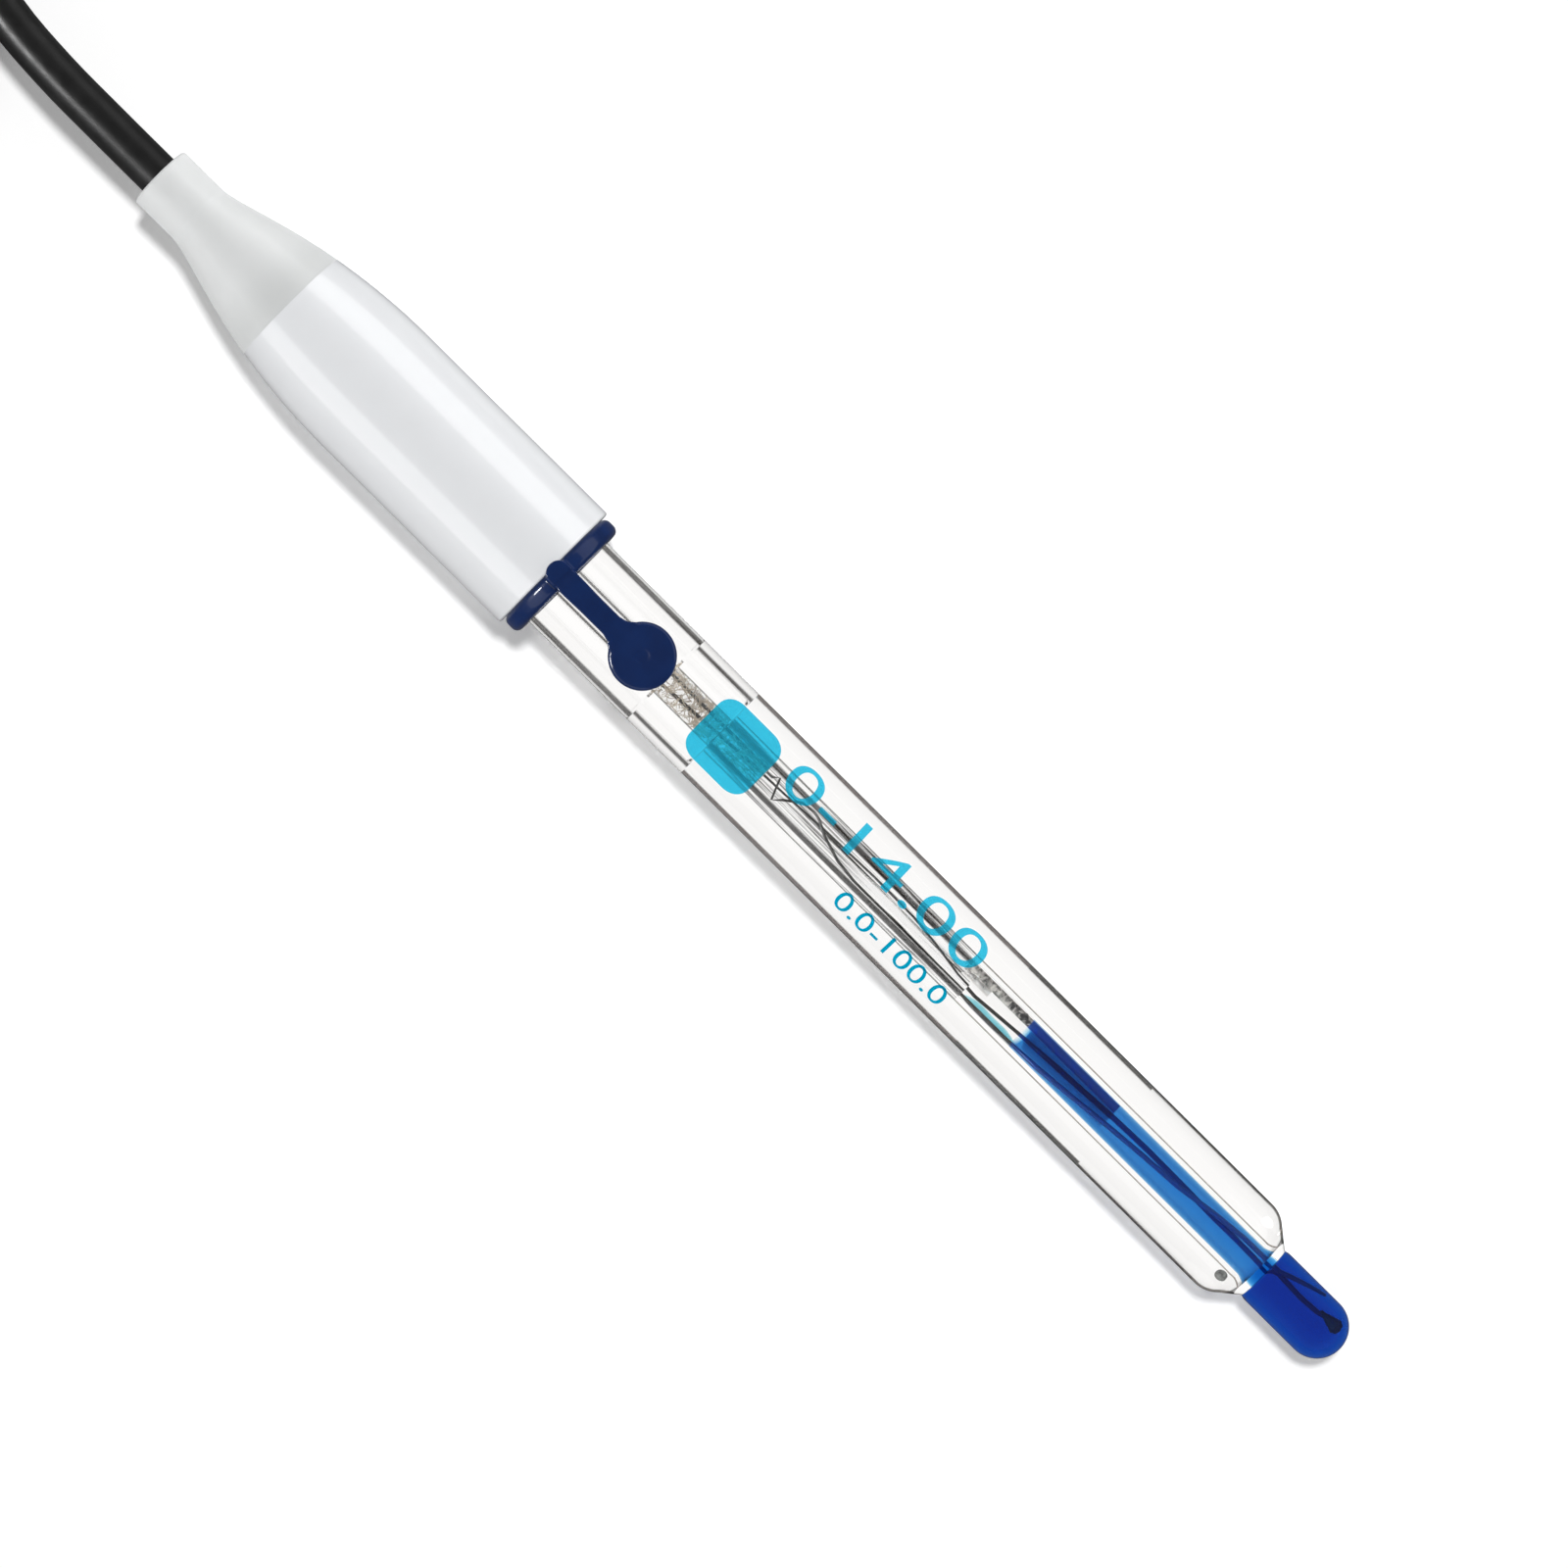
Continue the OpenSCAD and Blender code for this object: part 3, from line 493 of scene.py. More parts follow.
@dataclass(frozen=True)
class ClearGlass:
    """Clear glass, or the border between glass and a liquid, whose wall carries painted shade at its edges.

    A rim is a range of slopes, where 0 faces the eye and 1 is edge on, in which the wall's colour is
    darkened: painted shade standing in for the dark surroundings that a thick glass wall shows by refraction.
    Noise varies it with painted dark streaks and adds painted dark lines.
    """

    name: str
    index: float = 1.5
    painted_shade_slopes: tuple[Span, ...] = ()
    # Colour of the painted shade at the wall's edges; the fields below soften it, vary it with painted
    # streaks and add painted dark lines.
    painted_shade_colour: Colour = (0.004, 0.003, 0.0022)
    soft: float = 0.03
    streaks: float = 0.05
    lines: float = 0.0
    shade: float = 1.0
    gloss: float = 0.5
    streak_scale: float = 1400.0
    streak_stretch: Point = (0.06, 1, 1)
    line_scale: float = 2600.0
    line_stretch: Point = (0.02, 1, 1)
    line_rise: Span = (0.5, 0.64)

    def make(self) -> Finish:
        """Makes the material.

        Returns:
            The material.
        """
        sh = Shader(self.name)
        surface = sh.node("BsdfPrincipled", {
            "Base Color": (1, 1, 1, 1), "Roughness": 0.0, "IOR": self.index,
            "Specular IOR Level": self.gloss, "Transmission Weight": 1.0})
        # Painted shade: the wall's colour darkens by slope.
        if self.painted_shade_slopes:
            mask = self.painted_shade_mask(sh)
            if self.lines:
                marks = sh.noise(self.line_scale, 2.0, self.line_stretch)
                start, end = self.line_rise
                drawn = sh.node("MapRange", {0: marks, 1: start, 2: end, 3: 0.0, 4: self.lines})
                mask = sh.node("Math", {0: mask, 1: drawn.outputs[0]}, operation="MAXIMUM").outputs[0]
            colour = sh.blend(mask, (1.0, 1.0, 1.0), self.painted_shade_colour)
            sh.tree.links.new(colour, surface.inputs["Base Color"])
        passing = sh.node("BsdfTransparent", {"Color": (self.shade, self.shade, self.shade, 1)})
        lamp_ray = sh.node("LightPath").outputs["Is Shadow Ray"]
        mix = sh.node("MixShader", {0: lamp_ray, 1: surface.outputs[0], 2: passing.outputs[0]})
        return sh.finish(mix.outputs[0])

    def painted_shade_mask(self, sh: Shader) -> Socket:
        """Works out where the wall's colour takes painted shade.

        Args:
            sh: The material under construction.

        Returns:
            The socket of the painted shade, from 0 to 1.
        """
        slope = sh.node("LayerWeight", {"Blend": 0.5}).outputs["Facing"]
        mask = None
        for rim in self.painted_shade_slopes:
            rise, fall = (
                sh.node("MapRange", {
                    0: slope, 1: edge - self.soft, 2: edge + self.soft, 3: dark, 4: 1.0 - dark})
                for edge, dark in zip(rim, (0.0, 1.0)))
            band = sh.node("Math", {0: rise.outputs[0], 1: fall.outputs[0]}, operation="MULTIPLY").outputs[0]
            if mask is None:
                mask = band
            else:
                mask = sh.node("Math", {0: mask, 1: band}, operation="MAXIMUM").outputs[0]
        back = sh.node("NewGeometry").outputs["Backfacing"]
        front = sh.node("Math", {0: 1.0, 1: back}, operation="SUBTRACT")
        streak = sh.span(sh.noise(self.streak_scale, 3.0, self.streak_stretch), 1 - self.streaks, 1.0)
        lit = sh.node("Math", {0: front.outputs[0], 1: streak}, operation="MULTIPLY")
        return sh.node("Math", {0: mask, 1: lit.outputs[0]}, operation="MULTIPLY").outputs[0]


@dataclass(frozen=True)
class DyedFill:
    """A clear dyed fill whose colour deepens with its thickness."""

    name: str
    colour: Colour
    density: float
    index: float = 1.0

    def make(self) -> Finish:
        """Makes the material.

        Returns:
            The material.
        """
        sh = Shader(self.name)
        surface = sh.node("BsdfPrincipled", {
            "Base Color": (1, 1, 1, 1), "Roughness": 0.0, "IOR": self.index,
            "Transmission Weight": 1.0})
        inside = sh.node("VolumeAbsorption", {"Color": (*self.colour, 1), "Density": self.density})
        return sh.finish(surface.outputs[0], inside.outputs[0])


@dataclass(frozen=True)
class MouldedPlastic:
    """A moulded plastic with a faint mould texture, and an optional band of painted shade along the axis."""

    name: str
    colour: Colour
    shade: Colour
    roughness: float = 0.25
    coat: float = 0.0
    coat_index: float = 1.5
    coat_roughness: float = 0.1
    mottle: float = 400.0
    grain: float = 2500.0
    relief: float = 0.000004
    scatter: float = 0.0
    see_through: float = 0.0
    gloss: float = 0.5
    # The colour of a band of painted shade, which blends in between the two places along the axis below.
    inner: Colour | None = None
    painted_shade_from: float = 0.0
    painted_shade_to: float = 0.0
    spread: Span = (0.85, 1.15)
    rough_mottle: float = 1.7
    scatter_reach: float = 0.003

    def make(self) -> Finish:
        """Makes the material.

        Returns:
            The material.
        """
        sh = Shader(self.name)
        colour = sh.blend(sh.span(sh.noise(self.mottle), 0, 1), self.colour, self.shade)
        # Painted shade: the colour blends to the shaded colour over a stretch of the axis.
        if self.inner:
            along = sh.node("SeparateXYZ", {0: sh.place()}).outputs[0]
            ends = (AXIS.point(self.painted_shade_from).x, AXIS.point(self.painted_shade_to).x)
            near = sh.node(
                "MapRange", {0: along, 1: ends[0], 2: ends[1], 3: 0.0, 4: 1.0},
                interpolation_type="SMOOTHSTEP")
            colour = sh.blend(near.outputs[0], colour, self.inner)
        low, high = (self.roughness * share for share in self.spread)
        rough = sh.span(sh.noise(self.mottle * self.rough_mottle), low, high)
        surface = sh.node("BsdfPrincipled", {
            "Base Color": colour, "Roughness": rough, "IOR": 1.5, "Specular IOR Level": self.gloss,
            "Normal": sh.bump(sh.noise(self.grain), self.relief),
            "Coat Weight": self.coat, "Coat IOR": self.coat_index, "Coat Roughness": self.coat_roughness,
            "Subsurface Weight": self.scatter, "Subsurface Radius": (self.scatter_reach,) * 3,
            "Subsurface Scale": 1.0, "Transmission Weight": self.see_through})
        return sh.finish(surface.outputs[0])


@dataclass(frozen=True)
class Metal:
    """A metal with machining or drawing marks."""

    name: str
    colour: Colour
    shade: Colour
    roughness: float = 0.2
    grain: Grain = Grain.NONE
    relief: float = 0.000004
    mark_scale: float = 900.0
    mottle: float = 350.0
    round_stretch: Point = (9.0, 0.6, 0.6)
    spread: Span = (0.7, 1.4)

    def make(self) -> Finish:
        """Makes the material.

        Returns:
            The material.
        """
        sh = Shader(self.name)
        stretch = self.round_stretch if self.grain is Grain.ROUND else (1.0, 1.0, 1.0)
        marks = sh.noise(self.mark_scale, 4.0, stretch)
        colour = sh.blend(sh.span(sh.noise(self.mottle), 0, 1), self.colour, self.shade)
        low, high = self.spread
        surface = sh.node("BsdfPrincipled", {
            "Base Color": colour, "Metallic": 1.0,
            "Roughness": sh.span(marks, self.roughness * low, self.roughness * high),
            "Normal": sh.bump(marks, self.relief)})
        return sh.finish(surface.outputs[0])


@dataclass(frozen=True)
class Porous:
    """A matte material with visible grains or fibres, optionally with a painted blue shade past a place along
    the axis.
    """

    name: str
    colour: Colour
    shade: Colour
    scale: float = 3000.0
    relief: float = 0.00003
    roughness: float = 0.8
    gel_shade_colour: Colour | None = None
    gel_shade_from: float = 0.0
    gel_shade_soft: float = 0.0001

    def make(self) -> Finish:
        """Makes the material.

        Returns:
            The material.
        """
        sh = Shader(self.name)
        grains = sh.noise(self.scale, 5.0)
        colour = sh.blend(sh.span(grains, 0, 1), self.shade, self.colour)
        # Painted shade: past a place along the axis, the colour turns to the blue that the gel gives the
        # light reaching the part.
        if self.gel_shade_colour:
            along = sh.node("SeparateXYZ", {0: sh.place()}).outputs[0]
            edge = AXIS.point(self.gel_shade_from).x
            past = sh.node("MapRange", {
                0: along, 1: edge - self.gel_shade_soft, 2: edge + self.gel_shade_soft, 3: 0.0, 4: 1.0})
            colour = sh.blend(past.outputs[0], colour, self.gel_shade_colour)
        surface = sh.node("BsdfPrincipled", {
            "Base Color": colour, "Roughness": self.roughness, "Normal": sh.bump(grains, self.relief)})
        return sh.finish(surface.outputs[0])


@dataclass(frozen=True)
class Ink:
    """See-through screen ink on the glass, which tints what lies under it."""

    name: str
    colour: Colour
    clear: float = 0.82
    index: float = 1.01

    def make(self) -> Finish:
        """Makes the material.

        Returns:
            The material.
        """
        sh = Shader(self.name)
        surface = sh.node("BsdfPrincipled", {
            "Base Color": (*self.colour, 1), "Roughness": 0.0, "IOR": self.index,
            "Transmission Weight": self.clear})
        return sh.finish(surface.outputs[0])


def dress(obj: Piece, *materials: Finish) -> Piece:
    """Gives an object its materials in place of those that it has.

    Args:
        obj: The object.
        *materials: Its materials, in the order of its slots.

    Returns:
        The same object.
    """
    while len(obj.data.materials) < len(materials):
        obj.data.materials.append(None)
    for k, material in enumerate(materials):
        obj.material_slots[k].link = "DATA"
        obj.data.materials[k] = material
    return obj


def fit_piece(obj: Piece, body: Body, slot: str, *nodes: str) -> Piece:
    """Rides a new piece on its body in place of the solids that it stands for.

    Args:
        obj: The piece.
        body: The body that it moves with.
        slot: The record's material slot; not used.
        *nodes: The solids that it replaces.

    Returns:
        The piece.
    """
    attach(obj, body.value)
    if nodes:
        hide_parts(*nodes)
    LOG.info("%s replaces %s", obj.name, ", ".join(nodes) or "nothing")
    return obj


@dataclass
class Studio:
    """The pale floor, the soft lamps and the camera."""

    field_mm: float = 169.6
    centre_s: float = 34.1
    centre_y: float = 0.99
    roll_deg: float = 44.82
    lens_mm: float = 200.0
    sensor_mm: float = 36.0
    floor_size: float = 4.0
    floor_colour: Colour = (0.95, 0.95, 0.95)
    floor_lift: float = 0.19
    floor_through: Colour = (1.0, 0.99, 0.978)
    floor_in_gloss: float = 0.12
    room: float = 0.22
    lamp_far: float = 0.6
    upper_strip: Point = (65.0, 0.46, 1.65)
    lower_strip: Point = (-56.0, 0.38, 1.4)
    strip_l: float = 1.5
    fill: Point = (88.0, 0.5, 6.0)
    key_from: Point = (-0.09, 0.19, 0.98)
    key: Span = (0.12, 2.15)
    spark_at: Point = (-0.30, -0.42, 0.40)
    spark: Span = (0.2, 4.0)
    spared: list[Piece] = field(default_factory=list)
    plain: list[Piece] = field(default_factory=list)
    bounces: int = 32
    clear_bounces: int = 24

    def build_camera(self) -> Piece:
        """Sets the camera straight above the electrode.

        Returns:
            The camera.
        """
        data = bpy.data.cameras.new("studio_camera")
        data.lens = self.lens_mm
        data.sensor_width = self.sensor_mm
        data.clip_end = 20.0
        away = self.field_mm * MM * self.lens_mm / self.sensor_mm
        aim = AXIS.point(self.centre_s)
        camera = bpy.data.objects.new("studio_camera", data)
        bpy.context.collection.objects.link(camera)
        camera.location = (aim.x, self.centre_y * MM, aim.z + away)
        camera.rotation_euler = (0, 0, math.radians(self.roll_deg))
        bpy.context.scene.camera = camera
        return camera

    def build_floor(self) -> Piece:
        """Makes the white floor, which keeps the electrode's shadow.

        Returns:
            The floor.
        """
        half = self.floor_size / 2
        mesh = bpy.data.meshes.new("floor")
        corners = [(-half, -half, 0), (half, -half, 0), (half, half, 0), (-half, half, 0)]
        mesh.from_pydata(corners, [], [(0, 1, 2, 3)])
        floor = new_object("floor", mesh)
        sh = Shader("floor_white")
        paths = sh.node("LightPath").outputs
        lift = sh.node("Math", {0: paths["Is Camera Ray"], 1: self.floor_lift}, operation="MULTIPLY")
        matte = sh.node("BsdfDiffuse", {"Color": (*self.floor_colour, 1)})
        glow = sh.node("Emission", {"Color": (1, 1, 1, 1), "Strength": lift.outputs[0]})
        lit = sh.node("AddShader", {0: matte.outputs[0], 1: glow.outputs[0]})
        white = sh.node("Emission", {"Color": (*self.floor_through, 1), "Strength": 1.0})
        dim = sh.node("Emission", {"Color": (1, 1, 1, 1), "Strength": self.floor_in_gloss})
        seen = sh.node("MixShader", {0: paths["Is Glossy Ray"], 1: lit.outputs[0], 2: dim.outputs[0]})
        through = paths["Is Transmission Ray"]
        both = sh.node("MixShader", {0: through, 1: seen.outputs[0], 2: white.outputs[0]})
        dress(floor, sh.finish(both.outputs[0]))
        return floor

    def build_world(self) -> None:
        """Sets the dim room, which the camera sees as white."""
        world = bpy.data.worlds.new("studio")
        world.use_nodes = True
        graph = Graph(world.node_tree)
        seen = graph.node("LightPath").outputs["Is Camera Ray"]
        room, white = (
            graph.node("Background", {"Color": (1, 1, 1, 1), "Strength": strength}).outputs[0]
            for strength in (self.room, 1.0))
        mix = graph.node("MixShader", {0: seen, 1: room, 2: white})
        graph.node("OutputWorld", {"Surface": mix.outputs[0]})
        bpy.context.scene.world = world

    def spare(self, lamp: Piece, pieces: list[Piece]) -> None:
        """Keeps a lamp's light off some pieces, such as the floor, whose shadow stays deep.

        Args:
            lamp: The lamp.
            pieces: The pieces that it spares.
        """
        group = bpy.data.collections.new(lamp.name + "_spares")
        for number, piece in enumerate(pieces):
            group.objects.link(piece)
            group.collection_objects[number].light_linking.link_state = "EXCLUDE"
        lamp.light_linking.receiver_collection = group

    def build_strip(self, name: str, strip: Point, in_gloss: bool = True) -> Piece:
        """Hangs one long soft lamp beside the electrode.

        Args:
            name: The lamp's name.
            strip: Its angle from straight up towards +Y, in degrees, its width and its power.
            in_gloss: Whether gloss and glass show it.

        Returns:
            The lamp.
        """
        angle, width, power = strip
        a = math.radians(angle)
        data = bpy.data.lights.new(name, "AREA")
        data.shape = "RECTANGLE"
        data.size = self.strip_l
        data.size_y = width
        data.energy = power
        lamp = bpy.data.objects.new(name, data)
        bpy.context.collection.objects.link(lamp)
        lamp.location = (0, self.lamp_far * math.sin(a), self.lamp_far * math.cos(a))
        lamp.rotation_euler = (-a, 0, 0)
        data.use_shadow = False
        lamp.visible_camera = False
        lamp.visible_glossy = lamp.visible_transmission = in_gloss
        self.spare(lamp, self.spared)
        return lamp

    def build_key(self) -> Piece:
        """Hangs the far lamp overhead that throws the soft shadow and that no gloss shows.

        Returns:
            The lamp.
        """
        data = bpy.data.lights.new("key_lamp", "SUN")
        data.angle, data.energy = self.key
        lamp = bpy.data.objects.new("key_lamp", data)
        bpy.context.collection.objects.link(lamp)
        lamp.rotation_euler = (-Vector(self.key_from)).to_track_quat("-Z", "Y").to_euler()
        lamp.visible_glossy = False
        lamp.visible_transmission = False
        return lamp

    def build_spark(self) -> Piece:
        """Hangs the small lamp that draws bright points on the gloss.

        Returns:
            The lamp.
        """
        data = bpy.data.lights.new("spark_lamp", "AREA")
        data.shape = "DISK"
        data.size, data.energy = self.spark
        data.use_shadow = False
        lamp = bpy.data.objects.new("spark_lamp", data)
        lamp.visible_diffuse = False
        bpy.context.collection.objects.link(lamp)
        lamp.location = self.spark_at
        lamp.rotation_euler = (-Vector(self.spark_at)).to_track_quat("-Z", "Y").to_euler()
        self.spare(lamp, self.spared + self.plain)
        return lamp

    def build(self) -> None:
        """Builds the whole studio."""
        self.build_camera()
        self.spared.append(self.build_floor())
        self.build_world()
        self.build_strip("upper_strip_lamp", self.upper_strip)
        self.build_strip("lower_strip_lamp", self.lower_strip)
        angle, width, power = self.fill
        self.build_strip("left_fill_lamp", (angle, width, power), in_gloss=False)
        self.build_strip("right_fill_lamp", (-angle, width, power), in_gloss=False)
        self.build_key()
        self.build_spark()
        scene = bpy.context.scene
        scene.view_settings.view_transform = "Standard"
        scene.cycles.max_bounces = self.bounces
        scene.cycles.transmission_bounces = self.bounces
        scene.cycles.transparent_max_bounces = self.clear_bounces


@dataclass
class Cable:
    """The free cable: its lead, its hank of two by two strands and the stretch to the plug."""

    diameter: float = 4.8
    length: float = 1000.0
    lead: tuple[Point, ...] = (
        (-89.95, 0, 9.54), (-98, 0, 9.7), (-106, 0.1, 9.6), (-114, 0.8, 9.2), (-122, 2.8, 8.4))
    tail: tuple[Point, ...] = (
        (-207, -29, 7.7), (-199.5, -27.5, 7.7), (-191.7, -21.8, 7.6), (-184, -16.1, 7.4),
        (-176.3, -14.6, 7.2), (-160, -14.6, 7.2), (-142.4, -14.6, 7.2))
    near_x: float = -131.0
    run: float = 76.0
    middle_y: float = -14.6
    fold_r: float = 14.4
    tie_t: float = 0.5
    change_l: float = 20.0
    changes: Point = (22.0, 15.0, 8.0)
    spacing: float = 2.5
    fold_steps: int = 10
    run_steps: int = 6
    change_steps: int = 24
    rounding: int = 6

    def slots(self) -> list[Span]:
        """Lists each strand's fold radius and height, in winding order.

        Returns:
            One slot for each strand.
        """
        low, high = self.tie_t + self.diameter / 2, self.tie_t + 1.5 * self.diameter
        inner, outer = self.fold_r, self.fold_r + self.diameter
        return [(outer, high), (outer, low), (inner, low), (inner, high)]

    def fold(self, x: float, slot: Span, side: int) -> list[Point]:
        """Works out half a turn at one end of the hank.

        Args:
            x: The place of the fold's centre.
            slot: The strand's fold radius and height.
            side: -1 at the far end, 1 at the near end.

        Returns:
            The fold's inner points, in winding order.
        """
        r, z = slot
        out = []
        for k in range(1, self.fold_steps):
            a = math.pi * k / self.fold_steps
            out.append((x + side * r * math.sin(a), self.middle_y - side * r * math.cos(a), z))
        return out

    def return_run(self, one: Span, two: Span, start: float) -> list[Point]:
        """Works out the run back to the near end, on which a strand moves to its next slot.

        Args:
            one: The slot that the strand leaves.
            two: The slot that it takes.
            start: How far along the run it begins to move.

        Returns:
            The run's points, in winding order.
        """
        out = []
        for k in range(self.change_steps + 1):
            along = self.run * k / self.change_steps
            t = min(1.0, max(0.0, (along - start) / self.change_l))
            w = (1 - math.cos(math.pi * t)) / 2
            r, z = (a + (b - a) * w for a, b in zip(one, two))
            out.append((self.near_x - self.run + along, self.middle_y - r, z))
        return out

    def points(self) -> list[Vector]:
        """Works out the whole route.

        Returns:
            The points, in metres.
        """
        slots = self.slots()
        far_x = self.near_x - self.run
        route: list[Point] = list(self.lead)
        for k, slot in enumerate(slots):
            r, z = slot
            shares = [i / self.run_steps for i in range(self.run_steps + 1)]
            route += [(self.near_x - self.run * share, self.middle_y + r, z) for share in shares]
            route += self.fold(far_x, slot, -1)
            if k < len(slots) - 1:
                route += self.return_run(slot, slots[k + 1], self.changes[k])
                route += self.fold(self.near_x, slots[k + 1], 1)
        route += list(self.tail)
        return smooth_path([Vector(p) * MM for p in route], self.spacing * MM)

    def build(self, jacket: Finish, on_it: list[Piece]) -> Piece:
        """Makes the cable as one curve.

        Args:
            jacket: The cable's finish.
            on_it: The pieces that the cable carries; not used.

        Returns:
            The cable.
        """
        points = self.points()
        curve = bpy.data.curves.new("cable", "CURVE")
        curve.dimensions = "3D"
        spline = curve.splines.new("POLY")
        spline.points.add(len(points) - 1)
        for place, p in zip(spline.points, points):
            place.co = (*p, 1)
        curve.bevel_depth = self.diameter / 2 * MM
        curve.bevel_resolution = self.rounding
        curve.use_fill_caps = True
        curve.materials.append(jacket)
        cable = bpy.data.objects.new("cable", curve)
        bpy.context.collection.objects.link(cable)
        total = sum((b - a).length for a, b in zip(points, points[1:]))
        LOG.info("cable of %d mm", round(total / MM))
        tuple(Vector(self.lead[0]) * MM)
        return fit_piece(cable, Body.ELECTRODE, "jacket", "cable_lead", "cable_hank", "plug_lead")


@dataclass
class Glassware:
    """The glass shaft, its stem and bulb, and what fills them."""

    tail: float = 22.0
    upper_bore_r: float = 5.25
    lower_bore_r: float = 4.8
    step_at: float = 17.1
    step_l: float = 0.3
    seal_r: float = 2.6
    seal_l: float = 1.0
    stem_r: float = 1.95
    stem_bore_r: float = 1.35
    stem_tail: float = 27.0
    flare_l: float = 2.6
    mouth_r: float = 1.9
    level_at: float = 25.3
    climb: float = 0.5
    gel_top: float = 71.3
    gel_dish: float = 0.7
    bulb_bore_r: float = 3.1
    bulb_base_l: float = 0.8
    refill_at: float = 13.5
    refill_r: float = 1.65
    inset: float = 0.02
    glass_index: float = 1.5
    shade: float = 0.45
    liquid_index: float = 1.36
    gel_index: float = 1.47
    bulb_gloss: float = 0.02
    shaft_gloss: float = 0.3
    gel_colour: Colour = (0.22, 0.675, 0.897)
    gel_density: float = 1900.0
    # The darker blue volume along the rod is painted shade: the rod's shadow in the gel. The tuple below
    # gives its start, end, radius and sideways offset.
    gel_shadow_colour: Colour = (0.15, 0.40, 0.61)
    gel_shadow_density: float = 1000.0
    deep: tuple[float, float, float, float] = (71.9, 84.6, 1.1, 0.22)
    film_from: float = 63.6
    film_to: float = 71.6
    film_l: float = 0.16
    film_turn: Span = (94.0, 163.0)
    film_colour: Colour = (0.15, 0.72, 0.8)
    film_density: float = 14000.0
    coated_wires: tuple[str, str] = ("element_wire", "bead_wire")
    coat_from: float = 71.0
    coat_rise: float = 3.0
    coat_t: float = 0.09
    dark_from: float = 66.8
    thin_from: float = 85.5
    seal_from: float = 107.2
    wad_from: float = 16.5
    wad_to: float = 31.8
    wad_r: float = 1.28
    grains_from: float = 62.2
    grains_y: float = 0.95
    grains: tuple[tuple[str, float, int, float], ...] = (
        ("fine_grains", 62.2, 240, 0.06), ("coarse_grains", 68.2, 60, 0.17))
    refill_room: float = 2.2
    square: float = 0.98
    lip: tuple[Span, ...] = ((0.15, 0.02), (0.5, 0.02), (0.8, 0.0))
    gel_shadow_shape: tuple[Span, ...] = ((0.0, 0.0), (0.15, 0.5), (0.5, 0.9), (0.9, 1.0))
    gel_shadow_edge: float = 0.1
    coat_first: float = 0.1
    curl_r: float = 0.9
    curl_sweep: float = 230.0
    frit_l: float = 0.5
    frit_at: float = 104.75
    frit_r: float = 0.68
    frit_turn: float = 36.0
    materials: dict = field(default_factory=dict)

    def finishes(self) -> None:
        """Makes the finishes of the glass and the fills; the glass walls carry painted shade at their edges.
        """
        wet = self.glass_index / self.liquid_index
        shaft_r, stem_r = AXIS.shaft_r, self.stem_r * self.liquid_index
        # The band colours below are painted shade, standing in for the dark surroundings that the thick walls
        # show by refraction; in the gel's bore the painted band is blue.
        self.materials = {
            "dry": ClearGlass(
                "shaft_glass", self.glass_index, self.painted_shade_slopes(shaft_r, (5.12, 5.74)), shade=self.shade,
                gloss=self.shaft_gloss).make(),
            "thick": ClearGlass(
                "thick_glass", self.glass_index, self.painted_shade_slopes(shaft_r, (4.65, 5.17)), shade=self.shade,
                gloss=self.shaft_gloss).make(),
            "filled": ClearGlass(
                "filled_glass", self.glass_index, self.painted_shade_slopes(shaft_r, (5.5, 5.97)),
                (0.035, 0.024, 0.021), shade=self.shade,
                gloss=self.shaft_gloss).make(),
            "filled_dark": ClearGlass(
                "gel_side_glass", self.glass_index, self.painted_shade_slopes(shaft_r, (5.45, 5.97)),
                (0.004, 0.0025, 0.0015), shade=self.shade,
                gloss=self.shaft_gloss).make(),
            "shoulder": ClearGlass(
                "shoulder_glass", self.glass_index, self.painted_shade_slopes(shaft_r, (5.7, 5.99)), (0.012, 0.006, 0.002),
                shade=self.shade, gloss=self.shaft_gloss).make(),
            "bore": ClearGlass("glass_bore", self.glass_index).make(),
            "step": ClearGlass("glass_step", 1.06).make(),
            "wet": ClearGlass("wetted_glass", wet).make(),
            "touched": ClearGlass("gel_on_glass", self.glass_index / self.gel_index).make(),
            "gel_bore": ClearGlass(
                "gel_in_bore", self.glass_index / self.gel_index, self.painted_shade_slopes(self.stem_bore_r, (0.75, 1.6)),
                (0.1, 0.3, 0.58), soft=0.12).make(),
            "stem_dry": ClearGlass("stem_glass", self.glass_index, self.painted_shade_slopes(self.stem_r, (1.5, 1.8))).make(),
            "stem_wad": ClearGlass(
                "stem_round_wad", self.glass_index, self.painted_shade_slopes(self.stem_r, (1.8, 1.93))).make(),
            "stem_air": ClearGlass(
                "stem_in_electrolyte", wet, self.painted_shade_slopes(stem_r, (1.33, 2.0), (2.5, 2.65)),
                (0.0016, 0.0011, 0.0008),
                streaks=0.04, lines=1.0).make(),
            "stem_gel": ClearGlass(
                "stem_round_gel", wet, self.painted_shade_slopes(stem_r, (2.5, 2.65)), (0.04, 0.02, 0.008)).make(),
            "bulb": ClearGlass(
                "bulb_glass", self.glass_index, gloss=self.bulb_gloss, shade=self.shade).make(),
            "seal": ClearGlass("sealed_glass", 1.08, shade=self.shade).make(),
            "level": ClearGlass("electrolyte_level", 1.03).make(),
            "liquid": ClearGlass("electrolyte", 1.0).make(),
            "gel": DyedFill("blue_gel", self.gel_colour, self.gel_density).make(),
            "gel_shadow": DyedFill("gel_shadow_blue", self.gel_shadow_colour, self.gel_shadow_density).make(),
            "film": DyedFill("gel_film", self.film_colour, self.film_density, self.liquid_index).make(),
        }

